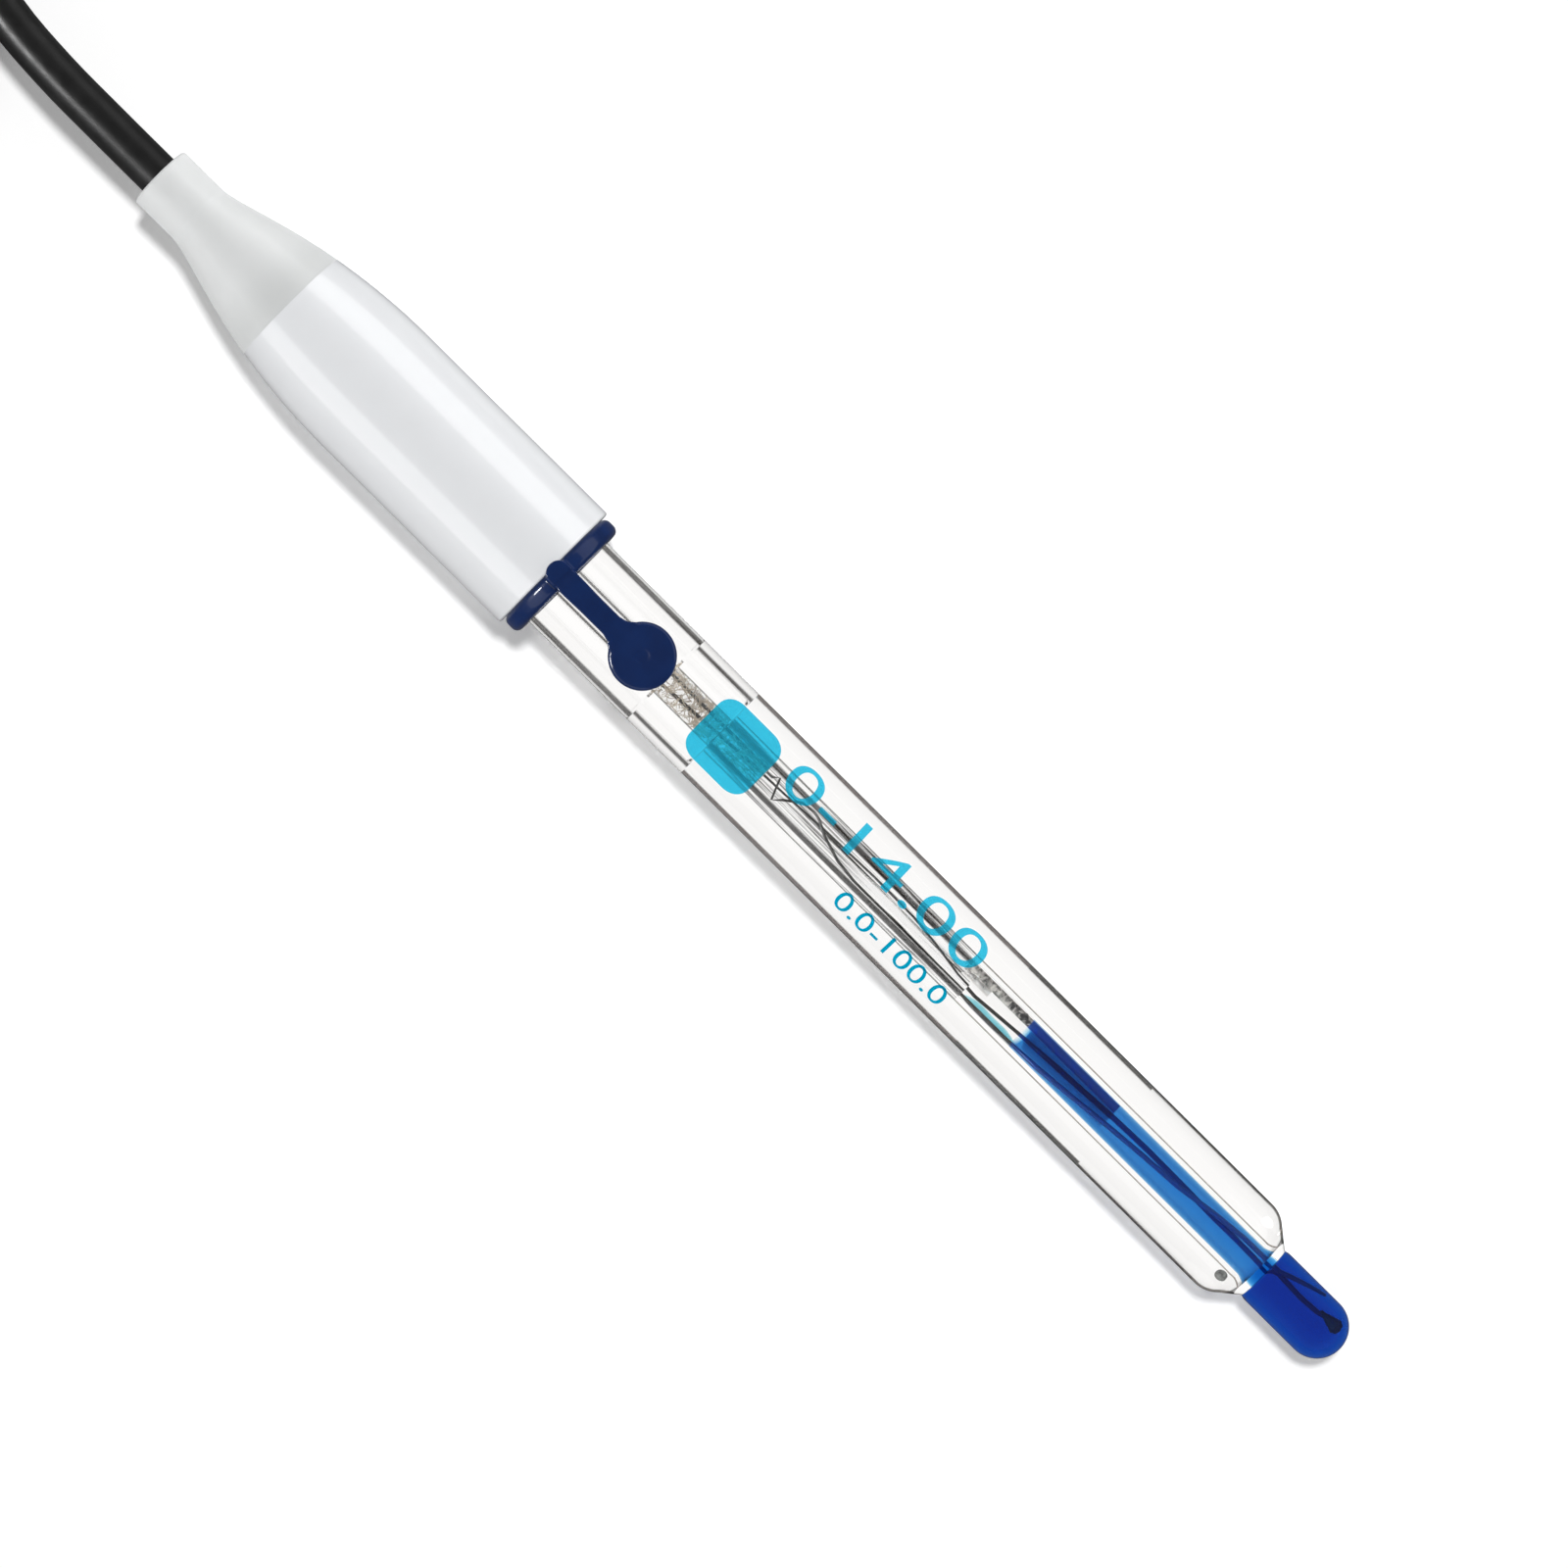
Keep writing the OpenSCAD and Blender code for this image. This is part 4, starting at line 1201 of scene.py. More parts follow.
    def painted_shade_slopes(self, edge: float, *bands: Span) -> tuple[Span, ...]:
        """Turns bands of painted shade on a wall into slopes.

        Args:
            edge: The radius at which the wall is seen edge on.
            *bands: Each band's inner and outer radius, as seen from outside.

        Returns:
            Each band's two slopes.
        """
        return tuple(tuple(1 - math.sqrt(max(1 - (r / edge) ** 2, 0)) for r in band) for band in bands)

    def slot_by_place(self, obj: Piece, pick: object) -> None:
        """Gives each face the finish that its place calls for.

        Args:
            obj: The turned piece.
            pick: Returns the slot from a face's place along the axis, its outward tilt and its side.
        """
        back = AXIS.matrix().inverted()
        for face in obj.data.polygons:
            c = back @ face.center
            n = (back.to_3x3() @ face.normal).normalized()
            face.material_index = pick(c.x, (n.y * c.y + n.z * c.z) / max(math.hypot(c.y, c.z), TINY), c.y)

    def shoulder(self) -> Outline:
        """Works out the outside from the shaft's round shoulder to the neck.

        Returns:
            The outline.
        """
        r = AXIS.shoulder_r
        turn = arc(AXIS.shoulder_at, AXIS.shaft_r - r, r, 90, 90 - AXIS.shoulder_angle, 12)
        end = (AXIS.neck_at - 0.35, AXIS.neck_r + 0.28)
        u = (self.seal_from - turn[-1][0]) / (end[0] - turn[-1][0])
        cut = (self.seal_from, turn[-1][1] + (end[1] - turn[-1][1]) * u)
        return turn + [cut, end, (AXIS.neck_at, AXIS.neck_r)]

    def flare(self) -> Outline:
        """Works out the stem's outside from its straight part to its seal.

        Returns:
            The outline.
        """
        start = AXIS.neck_at - self.seal_l - self.flare_l
        end = AXIS.neck_at - self.seal_l
        return cubic((start, self.stem_r), (start + self.flare_l / 2, self.stem_r),
                     (end - self.flare_l / 4, self.seal_r), (end, self.seal_r), 10)

    def mouth(self) -> Outline:
        """Works out the stem's bore from its straight part to its mouth.

        Returns:
            The outline.
        """
        start = AXIS.neck_at - self.seal_l - self.flare_l
        return cubic((start, self.stem_bore_r), (start + self.flare_l / 2, self.stem_bore_r),
                     (AXIS.neck_at - self.flare_l / 2, self.mouth_r), (AXIS.neck_at, self.mouth_r), 10)

    def bulb_inside(self, inset: float = 0.0) -> Outline:
        """Works out the bulb's inside from its mouth to its tip.

        Args:
            inset: How far inside the glass the outline stays.

        Returns:
            The outline.
        """
        n, r = AXIS.neck_at, self.bulb_bore_r - inset
        base = self.bulb_base_l
        start = cubic((n, self.mouth_r - inset), (n, r), (n + base / 2, r), (n + base, r), 16)
        return start + arc(AXIS.shaft_l - AXIS.bulb_r, 0, r, 90, 0, 24)

    def build_shaft(self) -> Piece:
        """Makes the outer tube with its refill hole.

        Returns:
            The piece.
        """
        seal = AXIS.neck_at - self.seal_l
        near, far = self.refill_at - self.refill_room, self.refill_at + self.refill_room
        line = [(seal, self.seal_r)]
        line += [(s, self.lower_bore_r) for s in (AXIS.shoulder_at, self.level_at, self.step_at)]
        line += [(s, self.upper_bore_r) for s in (self.step_at - self.step_l, far, near, -self.tail)]
        line += [
            (s, AXIS.shaft_r)
            for s in (-self.tail, near, far, self.step_at, self.level_at, self.dark_from, self.thin_from)]
        shaft = lathe("shaft_glass", line + self.shoulder())
        self.drill(shaft)
        dress(shaft, *(self.materials[n] for n in (
            "dry", "thick", "filled", "bore", "step", "wet", "filled_dark", "seal", "shoulder")))

        def pick(place: float, out: float, side: float) -> int:
            """Picks the finish of a face of the shaft.

            Args:
                place: Its place along the axis.
                out: Its outward tilt.
                side: Its side, positive towards +Y.

            Returns:
                The slot.
            """
            if place > self.seal_from:
                return 7
            if out > 0.05 and place > self.thin_from:
                return 8
            if out > 0.05:
                dark = 6 if place > self.dark_from else 2
                return 0 if place < self.step_at else 1 if place < self.level_at else dark
            if place > self.level_at:
                return 5
            return 4 if abs(out) < self.square and place > 0 else 3

        self.slot_by_place(shaft, pick)
        return fit_piece(shaft, Body.ELECTRODE, "shaft_glass", "outer_tube")

    def drill(self, shaft: Piece) -> None:
        """Cuts the refill hole through the top of the outer tube.

        Args:
            shaft: The outer tube.
        """
        bm = bmesh.new()
        bmesh.ops.create_cone(
            bm, cap_ends=True, segments=64, radius1=self.refill_r, radius2=self.refill_r, depth=AXIS.shaft_r)
        bmesh.ops.translate(bm, verts=bm.verts, vec=(self.refill_at, 0, AXIS.shaft_r))
        bm.transform(AXIS.matrix())
        mesh = bpy.data.meshes.new("drill")
        bm.to_mesh(mesh)
        bm.free()
        tool = new_object("drill", mesh)
        cut = shaft.modifiers.new("refill_hole", "BOOLEAN")
        cut.operation = "DIFFERENCE"
        cut.object = tool
        baked(shaft)
        bpy.data.objects.remove(tool)
        smooth(shaft.data, 35)

    def build_stem(self) -> Piece:
        """Makes the inner stem, from its open rear to the neck.

        Returns:
            The piece.
        """
        gel_side = list(reversed(self.mouth())) + [
            (s, self.stem_bore_r)
            for s in (self.gel_top, self.film_from, self.grains_from, self.wad_to, self.wad_from)]
        rear = [(-self.stem_tail, self.stem_bore_r), (-self.stem_tail, self.stem_r)] + [
            (s, self.stem_r)
            for s in (self.wad_from, self.level_at, self.grains_from, self.film_from, self.gel_top)]
        stem = lathe("stem_glass", gel_side + rear + self.flare(), 96)
        dress(stem, *(self.materials[n] for n in (
            "stem_dry", "stem_wad", "stem_air", "stem_gel", "bore", "touched", "gel_bore")))

        def pick(place: float, out: float, side: float) -> int:
            """Picks the finish of a face of the stem.

            Args:
                place: Its place along the axis.
                out: Its outward tilt.
                side: Its side, positive towards +Y.

            Returns:
                The slot.
            """
            if place > self.seal_from:
                return 5
            coated = self.grains_from < place < self.gel_top and (side > 0 or place > self.film_from)
            if out > 0.05:
                if place < self.level_at:
                    return 1 if place > self.wad_from else 0
                return 3 if coated or place > self.gel_top else 2
            if place > self.gel_top:
                return 6
            return 5 if coated or self.wad_from < place < self.wad_to else 4

        self.slot_by_place(stem, pick)
        return fit_piece(stem, Body.ELECTRODE, "stem_glass", "inner_stem")

    def build_bulb(self) -> Piece:
        """Makes the blown bulb.

        Returns:
            The piece.
        """
        n = AXIS.neck_at
        radii = (AXIS.neck_r, AXIS.bulb_r, AXIS.bulb_r)
        outside = [(n, AXIS.neck_r)] + [(n + s, r - drop) for (s, drop), r in zip(self.lip, radii)]
        outside += arc(AXIS.shaft_l - AXIS.bulb_r, 0, AXIS.bulb_r, 90, 0, 28)
        bulb = lathe("bulb_glass", outside, 128)
        inner = lathe("bulb_inner_wall", list(reversed(self.bulb_inside())), 128)
        dress(bulb, self.materials["bulb"], self.materials["touched"])
        joined = bmesh.new()
        joined.from_mesh(bulb.data)
        outer_count = len(joined.faces)
        joined.from_mesh(inner.data)
        joined.faces.ensure_lookup_table()
        for face in joined.faces[outer_count:]:
            face.material_index = 1
        joined.to_mesh(bulb.data)
        joined.free()
        smooth(bulb.data)
        bpy.data.objects.remove(inner)
        return fit_piece(bulb, Body.ELECTRODE, "bulb_glass", "sensing_bulb")

    def build_electrolyte(self) -> Piece:
        """Makes the clear electrolyte with its curved level.

        Returns:
            The piece.
        """
        i = self.inset
        out_r, in_r = self.lower_bore_r - i, self.stem_r + i
        mid = (out_r + in_r) / 2
        level = [(self.level_at - self.climb, in_r), (self.level_at - 0.1, in_r + 0.35),
                 (self.level_at, in_r + 0.9), (self.level_at + 0.05, mid),
                 (self.level_at, out_r - 0.9), (self.level_at - 0.1, out_r - 0.35),
                 (self.level_at - self.climb, out_r)]
        seal = AXIS.neck_at - self.seal_l
        side = [(AXIS.shoulder_at, out_r), (seal - i, self.seal_r + i)]
        back = [(s, r + i) for s, r in reversed(self.flare())][1:]
        liquid = lathe("electrolyte", level + side + back + [(self.level_at - self.climb, in_r)], 128)
        dress(liquid, self.materials["liquid"], self.materials["level"])
        edge = self.level_at + 0.1
        self.slot_by_place(liquid, lambda place, out, side: int(place < edge and abs(out) < self.square))
        return fit_piece(liquid, Body.ELECTRODE, "electrolyte", "electrolyte")

    def build_gel(self) -> Piece:
        """Makes the blue gel in the stem and the bulb.

        Returns:
            The piece.
        """
        i = self.inset
        r = self.stem_bore_r - i
        dish = [(self.gel_top + self.gel_dish, 0.0), (self.gel_top + self.gel_dish * 0.9, r * 0.4),
                (self.gel_top + self.gel_dish * 0.6, r * 0.75), (self.gel_top, r)]
        line = dish + [(s, rr - i) for s, rr in self.mouth()][:-1] + self.bulb_inside(i)
        gel = lathe("gel_fill", line, 96)
        dress(gel, self.materials["gel"])
        return fit_piece(gel, Body.ELECTRODE, "gel", "buffer_gel")

    def build_gel_shadow(self) -> Piece:
        """Makes a darker blue volume in the gel along the rod: painted shade, the rod's shadow in the gel.

        Returns:
            The piece.
        """
        start, end, r, side = self.deep
        line = [(start + s, r * share) for s, share in self.gel_shadow_shape]
        line += [(end - self.gel_shadow_edge, r), (end, 0.0)]
        cloud = lathe("gel_shadow", line, 64)
        cloud.data.transform(Matrix.Translation((0, side * MM, 0)))
        dress(cloud, self.materials["gel_shadow"])
        return fit_piece(cloud, Body.ELECTRODE, "gel")

    def build_film(self) -> Piece:
        """Makes the tongue of gel that has crept up the bore's wall.

        Returns:
            The piece.
        """
        bm = bmesh.new()
        wall, along, round_it = self.stem_bore_r - self.inset, 48, 20
        grids = []
        for layer in (0, 1):
            grid = []
            for i in range(along + 1):
                u = i / along
                place = self.film_from + (self.film_to - self.film_from) * u
                wide = math.sin(math.pi * min(u * 1.6, 1) / 2) ** 0.6 * (1 + 0.12 * math.sin(9 * u))
                low, high = self.film_turn
                middle, half = (low + high) / 2 - 22 * u ** 3, (high - low) / 2 * max(wide, 0.05)
                row = []
                for j in range(round_it + 1):
                    v = 2 * j / round_it - 1
                    a = math.radians(middle + half * v)
                    deep = self.film_l * max(1 - v * v, 0.0) ** 0.5 * max(wide, 0.05) if layer else 0.0
                    radius = wall - deep
                    row.append(bm.verts.new((place, -radius * math.sin(a), radius * math.cos(a))))
                grid.append(row)
            grids.append(grid)
        outer, inner = grids
        for i in range(along):
            for j in range(round_it):
                bm.faces.new((outer[i][j], outer[i + 1][j], outer[i + 1][j + 1], outer[i][j + 1]))
                bm.faces.new((inner[i][j], inner[i][j + 1], inner[i + 1][j + 1], inner[i + 1][j]))
        for row in (0, along):
            for j in range(round_it):
                bm.faces.new((outer[row][j], outer[row][j + 1], inner[row][j + 1], inner[row][j]))
        bmesh.ops.remove_doubles(bm, verts=bm.verts, dist=0.001)
        bmesh.ops.recalc_face_normals(bm, faces=bm.faces)
        bm.transform(AXIS.matrix())
        mesh = bpy.data.meshes.new("gel_film")
        bm.to_mesh(mesh)
        bm.free()
        smooth(mesh)
        film = new_object("gel_film", mesh)
        dress(film, self.materials["film"])
        return fit_piece(film, Body.ELECTRODE, "gel")

    def build_coats(self, nodes: dict, coat: Finish) -> Piece:
        """Makes the dark coat that has grown on the wires in the gel.

        Args:
            nodes: The solids by name.
            coat: The coat's finish.

        Returns:
            The piece.
        """
        bm = bmesh.new()
        for name in self.coated_wires:
            bm.from_mesh(nodes[name].data)
        bm.transform(AXIS.matrix().inverted())
        bmesh.ops.remove_doubles(bm, verts=bm.verts, dist=0.0005)
        bmesh.ops.bisect_plane(
            bm, geom=bm.verts[:] + bm.edges[:] + bm.faces[:],
            plane_co=(self.coat_from, 0, 0), plane_no=(1, 0, 0),
            clear_inner=True)
        bmesh.ops.holes_fill(bm, edges=[e for e in bm.edges if e.is_boundary])
        bmesh.ops.recalc_face_normals(bm, faces=bm.faces)
        bm.normal_update()
        rises = [min(1.0, self.coat_first + (v.co.x - self.coat_from) / self.coat_rise) for v in bm.verts]
        grown = [(v, v.normal * self.coat_t * rise) for v, rise in zip(bm.verts, rises)]
        for v, step in grown:
            v.co += step
        mesh = bpy.data.meshes.new("wire_coats")
        bm.transform(AXIS.matrix())
        bm.to_mesh(mesh)
        bm.free()
        smooth(mesh, 70)
        coats = dress(new_object("wire_coats", mesh), coat)
        return fit_piece(coats, Body.ELECTRODE, "chloride")

    def build_wad(self, fibre: Finish) -> Piece:
        """Strews the tangle of fibres that plugs the stem.

        Args:
            fibre: The fibres' finish.

        Returns:
            The piece.
        """
        g = Scatter("fibre_tangle")
        count, seed, free = g.value("count", "Int"), g.value("seed", "Int"), g.value("free_radius", "Float")
        middle, half = (self.wad_from + self.wad_to) / 2, (self.wad_to - self.wad_from) / 2
        r = self.wad_r
        spread = g.chance((middle - half, -r, -r), (middle + half, r, r), seed)
        points = g.node("Points", {"Count": count, "Position": spread}).outputs[0]
        curl = g.node("CurveArc", {
            "Resolution": 14, "Radius": self.curl_r, "Sweep Angle": math.radians(self.curl_sweep)}).outputs[0]
        turn = g.chance((0, 0, 0), (math.tau, math.tau, math.tau), seed)
        size = g.chance((0.5, 0.4, 0.5), (1.9, 1.2, 1.2), seed)
        strewn = g.node("InstanceOnPoints", {
            "Points": points, "Instance": curl, "Rotation": turn, "Scale": size}).outputs[0]
        real = g.node("RealizeInstances", {"Geometry": strewn}).outputs[0]
        kept = g.inside(real, free, self.wad_from, self.wad_to)
        thin = g.node("CurvePrimitiveCircle", {"Resolution": 5, "Radius": 0.035}).outputs[0]
        mesh = g.node("CurveToMesh", {"Curve": kept, "Profile Curve": thin}).outputs[0]
        wad = g.build("fibre_wad", mesh, fibre, count=260, seed=7, free_radius=self.wad_r)
        return fit_piece(wad, Body.ELECTRODE, "wadding", "wadding_plug")

    def build_grains(self, name: str, grain: Finish, start: float, count: int, radius: float) -> Piece:
        """Strews grains on the rod above the gel.

        Args:
            name: The piece's name.
            grain: Its finish.
            start: Where the grains begin along the axis; they end at the gel.
            count: How many there are.
            radius: The middling grain's radius.

        Returns:
            The piece.
        """
        g = Scatter(name)
        number, seed, free = g.value("count", "Int"), g.value("seed", "Int"), g.value("free_radius", "Float")
        y = self.grains_y
        spread = g.chance((start, y - 0.25, -0.5), (self.gel_top, y + 0.35, 0.5), seed)
        points = g.node("Points", {"Count": number, "Position": spread}).outputs[0]
        kept = g.inside(points, free, start, self.gel_top)
        ball = g.node("MeshIcoSphere", {"Radius": radius, "Subdivisions": 2}).outputs[0]
        size = g.chance((0.4, 0.4, 0.4), (2.0, 1.3, 1.3), seed)
        turn = g.chance((-0.6, -0.6, -0.6), (0.6, 0.6, 0.6), seed)
        strewn = g.node("InstanceOnPoints", {
            "Points": kept, "Instance": ball, "Rotation": turn, "Scale": size}).outputs[0]
        real = g.node("RealizeInstances", {"Geometry": strewn}).outputs[0]
        grains = g.build(name, real, grain, count=count, seed=3, free_radius=1.3 - radius)
        return fit_piece(grains, Body.ELECTRODE, "chloride")

    def build_frit(self, ceramic: Finish) -> Piece:
        """Makes the frit's short plug, whose end is flush with the shoulder.

        Args:
            ceramic: The plug's finish.

        Returns:
            The piece.
        """
        steps = self.shoulder()
        surface = np.interp(self.frit_at, [p[0] for p in steps], [p[1] for p in steps])
        plug = bpy.data.meshes.new("frit_plug")
        bm = bmesh.new()
        bmesh.ops.create_cone(
            bm, cap_ends=True, segments=48, radius1=self.frit_r, radius2=self.frit_r, depth=self.frit_l)
        rim = [e for e in bm.edges if abs(e.verts[0].co.z - e.verts[1].co.z) < TINY]
        bmesh.ops.bevel(bm, geom=rim, offset=0.08, segments=2, affect="EDGES")
        bmesh.ops.translate(bm, verts=bm.verts, vec=(self.frit_at, 0, surface - 0.16))
        bmesh.ops.rotate(bm, verts=bm.verts, matrix=Matrix.Rotation(math.radians(self.frit_turn), 3, "X"))
        bm.transform(AXIS.matrix())
        bm.to_mesh(plug)
        bm.free()
        smooth(plug, 40)
        piece = dress(new_object("frit_plug", plug), ceramic)
        return fit_piece(piece, Body.ELECTRODE, "frit", "ceramic_frit")

    def build(self, nodes: dict, finishes: dict) -> Piece:
        """Builds all the glass and its fills and returns the bulb.

        Args:
            nodes: The solids by name.
            finishes: The solids' finishes by name.

        Returns:
            The bulb.
        """
        self.finishes()
        self.build_coats(nodes, finishes["element_wire"])
        self.build_wad(finishes["wadding_plug"])
        grain = Porous("black_grains", (0.06, 0.06, 0.06), (0.008, 0.008, 0.008), 2500.0).make()
        for mark in self.grains:
            self.build_grains(mark[0], grain, *mark[1:])
        self.build_frit(finishes["ceramic_frit"])
        self.build_shaft()
        bulb = self.build_bulb()
        fills = (self.build_electrolyte(), self.build_gel(), self.build_gel_shadow(), self.build_film())
        for piece in (self.build_stem(), *fills):
            piece.visible_shadow = False
        return bulb


@dataclass
class ScalePrint:
    """The plain figures of the range, printed round the glass."""

    radius: float = 6.004
    depth: float = 0.02
    colour: Colour = (0.045, 0.5, 0.68)
    deep: Colour = (0.0, 0.33, 0.50)
    marks: tuple[tuple[str, str, float, float, float, float], ...] = (
        ("range_figures", "0-14.00", 33.6, 62.6, 0.36, 4.87),
        ("limit_figures", "0.0-100.0", 46.6, 62.6, -5.05, -2.4))
    patch: Point = (22.9, 31.7, 4.35)
    patch_corner: float = 0.25

    def wrapped(
            self, name: str, bm: bmesh.types.BMesh, start: float, end: float, low: float,
            high: float) -> Piece:
        """Bends a flat mark round the glass.

        Args:
            name: The piece's name.
            bm: The mark, flat and thin, of any size.
            start: Where it starts along the axis.
            end: Where it ends along the axis.
            low: Its lower edge, as a length round the glass from its top line.
            high: Its upper edge.

        Returns:
            The piece.
        """
        xs, ys = ([v.co[k] for v in bm.verts] for k in (0, 1))
        x0, x1, y0, y1 = min(xs), max(xs), min(ys), max(ys)
        for v in bm.verts:
            v.co.x = start + (v.co.x - x0) / (x1 - x0) * (end - start)
            v.co.y = low + (v.co.y - y0) / (y1 - y0) * (high - low)
        cuts = int((high - low) / 0.35)
        for k in range(1, cuts):
            edge = low + (high - low) * k / cuts
            parts = bm.verts[:] + bm.edges[:] + bm.faces[:]
            bmesh.ops.bisect_plane(bm, geom=parts, plane_co=(0, edge, 0), plane_no=(0, 1, 0))
        for v in bm.verts:
            a, r = v.co.y / AXIS.shaft_r, self.radius + (self.depth if v.co.z > 0 else 0)
            v.co = (v.co.x, r * math.sin(a), r * math.cos(a))
        mesh = bpy.data.meshes.new(name)
        bm.transform(AXIS.matrix())
        bm.to_mesh(mesh)
        bm.free()
        return new_object(name, mesh)

    def build_figures(self, name: str, text: str, *box: float) -> Piece:
        """Prints one group of figures in its box on the glass.

        Args:
            name: The piece's name.
            text: The figures.
            *box: Start and end along the axis, then lower and upper edge round the glass.

        Returns:
            The piece.
        """
        curve = bpy.data.curves.new(name, "FONT")
        curve.body = text
        curve.extrude = 0.01
        flat = bpy.data.objects.new(name, curve)
        bm = bmesh.new()
        bm.from_mesh(flat.to_mesh())
        bpy.data.objects.remove(flat)
        bpy.data.curves.remove(curve)
        return self.wrapped(name, bm, *box)

    def build_patch(self) -> Piece:
        """Prints the plain patch, with rounded corners, that is written on.

        Returns:
            The piece.
        """
        start, end, reach = self.patch
        c = self.patch_corner
        line = [p for turn, x, y in ((0, 1, 1), (90, 0, 1), (180, 0, 0), (270, 1, 0))
                for p in arc(x + c * (1 - 2 * x), y + c * (1 - 2 * y), c, turn, turn + 90, 8)]
        bm = bmesh.new()
        below = bm.faces.new([bm.verts.new((x, y, -1)) for x, y in line])
        grown = bmesh.ops.extrude_face_region(bm, geom=[below])["geom"]
        bmesh.ops.translate(bm, verts=[v for v in grown if isinstance(v, bmesh.types.BMVert)], vec=(0, 0, 2))
        bmesh.ops.recalc_face_normals(bm, faces=bm.faces)
        return self.wrapped("write_on_patch", bm, start, end, -reach, reach)

    def build(self) -> None:
        """Prints all the marks."""
        pale, deep = Ink("cyan_ink", self.colour).make(), Ink("deep_cyan_ink", self.deep).make()
        big, small = (self.build_figures(*mark) for mark in self.marks)
        for piece, ink in ((self.build_patch(), pale), (big, pale), (small, deep)):
            piece.visible_shadow = False
            fit_piece(dress(piece, ink), Body.ELECTRODE, "cap_plastic")


@dataclass
class Stopper:
    """The one-piece rubber ring, strap and stopper."""

    voxel: float = 0.11
    rounds: int = 4
    web: Point = (1.5, 2.56, 0.85)
    web_at: Point = (1.75, 0.0, 8.52)
    bend_from: Point = (2.2, 0.0, 8.3)
    bend_to: Point = (4.2, 0.0, 8.7)

    def build(self, nodes: dict, rubber: Finish) -> Piece:
        """Fuses the ring and the stopper into one soft moulding.

        Args:
            nodes: The solids by name.
            rubber: The moulding's finish.

        Returns:
            The moulding.
        """
        bm = bmesh.new()
        for name in ("stopper_ring", "refill_stopper"):
            bm.from_mesh(nodes[name].data)
        web = bmesh.ops.create_cube(bm, size=1.0)["verts"]
        bmesh.ops.scale(bm, verts=web, vec=self.web)
        bmesh.ops.translate(bm, verts=web, vec=self.web_at)
        bmesh.ops.transform(bm, verts=web, matrix=AXIS.matrix())
        bmesh.ops.remove_doubles(bm, verts=bm.verts, dist=0.00001)
        mesh = bpy.data.meshes.new("refill_ring_and_stopper")
        bm.to_mesh(mesh)
        bm.free()
        piece = new_object("refill_ring_and_stopper", mesh)
        remesh = piece.modifiers.new("fuse", "REMESH")
        remesh.mode = "VOXEL"
        remesh.voxel_size = self.voxel * MM
        relax = piece.modifiers.new("relax", "SMOOTH")
        relax.iterations = self.rounds
        baked(piece)
        smooth(piece.data, 180)
        dress(piece, rubber)
        AXIS.point(*self.bend_from)
        AXIS.point(*self.bend_to)
        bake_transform(piece)
        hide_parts("stopper_ring", "refill_stopper")
        LOG.info("%s with %d faces", piece.name, len(piece.data.polygons))
        return piece


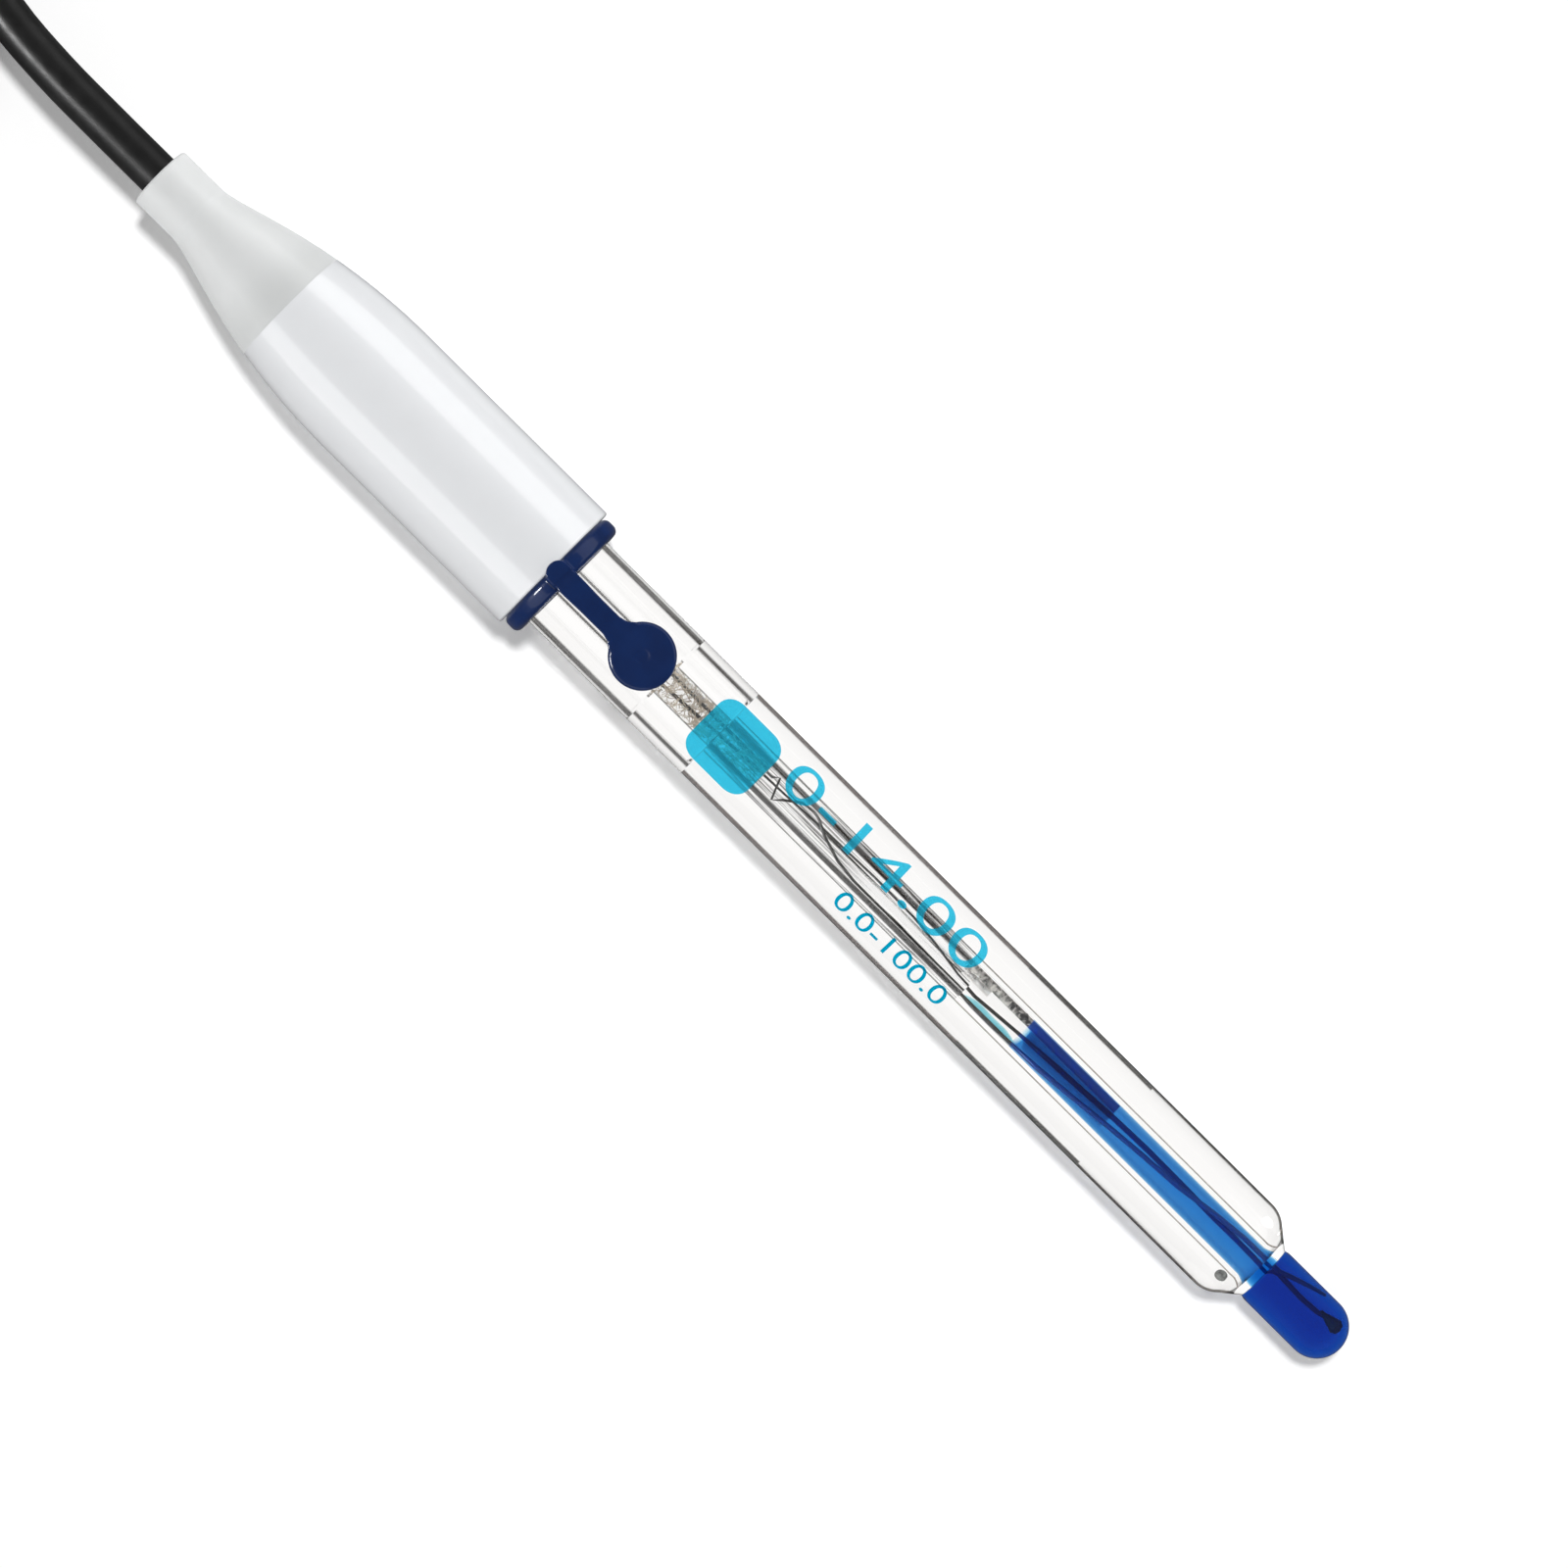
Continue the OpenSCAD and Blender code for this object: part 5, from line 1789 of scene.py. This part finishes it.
@dataclass
class CarriedParts:
    """The solids whose shape is right as it is, by their finish."""

    def finishes(self) -> dict:
        """Returns each node's finish.

        Returns:
            The finishes by node.
        """
        # The wires are dark with tarnish. Past the gel's top, they and the rod take a painted blue shade,
        # standing in for the gel's filtering of the light that reaches them.
        tarnish_and_gel_shade = Porous(
            "silver_tarnish_and_gel_shade", (0.03, 0.027, 0.024), (0.01, 0.009, 0.008), 2500.0, 0.000002, 0.4,
            (0.008, 0.04, 0.2), Glassware.gel_top).make()
        silver = Metal("bright_silver", (0.9, 0.89, 0.87), (0.8, 0.79, 0.77), 0.3).make()
        bead = Porous("dark_bead", (0.05, 0.035, 0.10), (0.03, 0.022, 0.07), 6000.0).make()
        rod = Porous(
            "chloride_rod", (0.62, 0.60, 0.56), (0.03, 0.03, 0.03), 2600.0, gel_shade_colour=(0.002, 0.05, 0.28),
            gel_shade_from=Glassware.gel_top).make()
        nickel = Metal("nickel_plate", (0.66, 0.64, 0.60), (0.58, 0.56, 0.53), 0.2, Grain.ROUND).make()
        spring = Metal("spring_steel", (0.5, 0.5, 0.51), (0.42, 0.42, 0.44), 0.3, Grain.ROUND).make()
        copper = Metal("tinned_copper", (0.62, 0.5, 0.42), (0.5, 0.38, 0.3), 0.35).make()
        pale = MouldedPlastic("dielectric", (0.82, 0.82, 0.79), (0.78, 0.78, 0.75), 0.35).make()
        seal = MouldedPlastic("pale_seal", (0.62, 0.63, 0.62), (0.56, 0.57, 0.57), 0.4).make()
        cap = MouldedPlastic(
            "white_cap", (0.64, 0.65, 0.665), (0.63, 0.64, 0.655), 0.35,
            relief=0.0000002, coat=1.0, coat_index=2.0,
            coat_roughness=0.12).make()
        # The boot's darker band near the cap is painted shade, standing in for the cap's nose seen through
        # the soft boot.
        boot = MouldedPlastic(
            "soft_boot", (0.575, 0.584, 0.584), (0.562, 0.571, 0.571), 0.45,
            scatter=0.25, see_through=0.08, relief=0.0000005,
            inner=(0.50, 0.51, 0.508), painted_shade_from=-46.5, painted_shade_to=-41.0).make()
        rubber = MouldedPlastic(
            "black_rubber", (0.012, 0.012, 0.013), (0.02, 0.02, 0.021), 0.5, relief=0.00001).make()
        return {
            "element_wire": tarnish_and_gel_shade, "bead_wire": tarnish_and_gel_shade, "reference_wire": silver, "element_bead": bead,
            "chloride_rod": rod, "cap_body": cap, "cable_boot": boot, "tube_bush": seal, "stem_seal": seal,
            "potting_plug": rubber, "solder_joint": spring, "core_wire": copper, "braid_tail": copper,
            "core_insulation": pale, "cable_clamp": spring, "plug_body": nickel, "crimp_ferrule": nickel,
            "coupling_nut": nickel, "plug_insulator": pale, "retaining_ring": spring, "wave_washer": spring,
            "plug_pin": Metal("gold_plate", (0.8, 0.56, 0.2), (0.72, 0.48, 0.16), 0.2, Grain.ROUND).make(),
            "plug_gasket": MouldedPlastic("red_gasket", (0.42, 0.04, 0.02), (0.36, 0.03, 0.02), 0.45).make(),
            "plug_boot": rubber,
            "ceramic_frit": Porous("porous_frit", (0.22, 0.23, 0.22), (0.04, 0.04, 0.04), 2600.0).make(),
            "wadding_plug": Porous(
                "fibre_wad", (0.62, 0.54, 0.43), (0.24, 0.20, 0.15), 900.0, 0.00001).make(),
            "hank_tie": Porous("tie_tape", (0.03, 0.03, 0.03), (0.012, 0.012, 0.012), 2500.0).make(),
            "cable_tail": self.jacket(),
        }

    def jacket(self) -> Finish:
        """Makes the cable's finish.

        Returns:
            The finish.
        """
        return MouldedPlastic(
            "cable_jacket", (0.006, 0.006, 0.006), (0.01, 0.01, 0.01), 0.36, gloss=0.25,
            relief=0.000006).make()

    def build(self, nodes: dict) -> dict:
        """Dresses every carried solid and returns the finishes.

        Args:
            nodes: The solids by name.

        Returns:
            The finishes by node.
        """
        made = self.finishes()
        for name, finish in made.items():
            dress(nodes[name], finish)
            LOG.info("%s dressed in %s", name, finish.name)
        return made


def main() -> None:
    """Builds the dressed electrode in its studio."""
    logging.basicConfig(level=logging.INFO, format="%(message)s")
    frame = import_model()
    nodes = frame["nodes"]
    finishes = CarriedParts().build(nodes)
    on_cable = [nodes[n] for n in (
        "hank_tie", "plug_boot", "crimp_ferrule", "plug_body", "plug_insulator", "plug_pin", "plug_gasket",
        "retaining_ring", "wave_washer", "coupling_nut")]
    Cable().build(finishes["cable_tail"], on_cable)
    bulb = Glassware().build(nodes, finishes)
    ScalePrint().build()
    navy = MouldedPlastic(
        "navy_rubber", (0.0008, 0.010, 0.056), (0.001, 0.013, 0.070), 0.4,
        gloss=0.1, relief=0.000001, coat=0.6,
        coat_roughness=0.1).make()
    Stopper().build(nodes, navy)
    Studio(spared=[bulb], plain=[nodes["cap_body"], nodes["cable_boot"]]).build()
    bpy.context.view_layer.update()


if __name__ == "__main__":
    main()
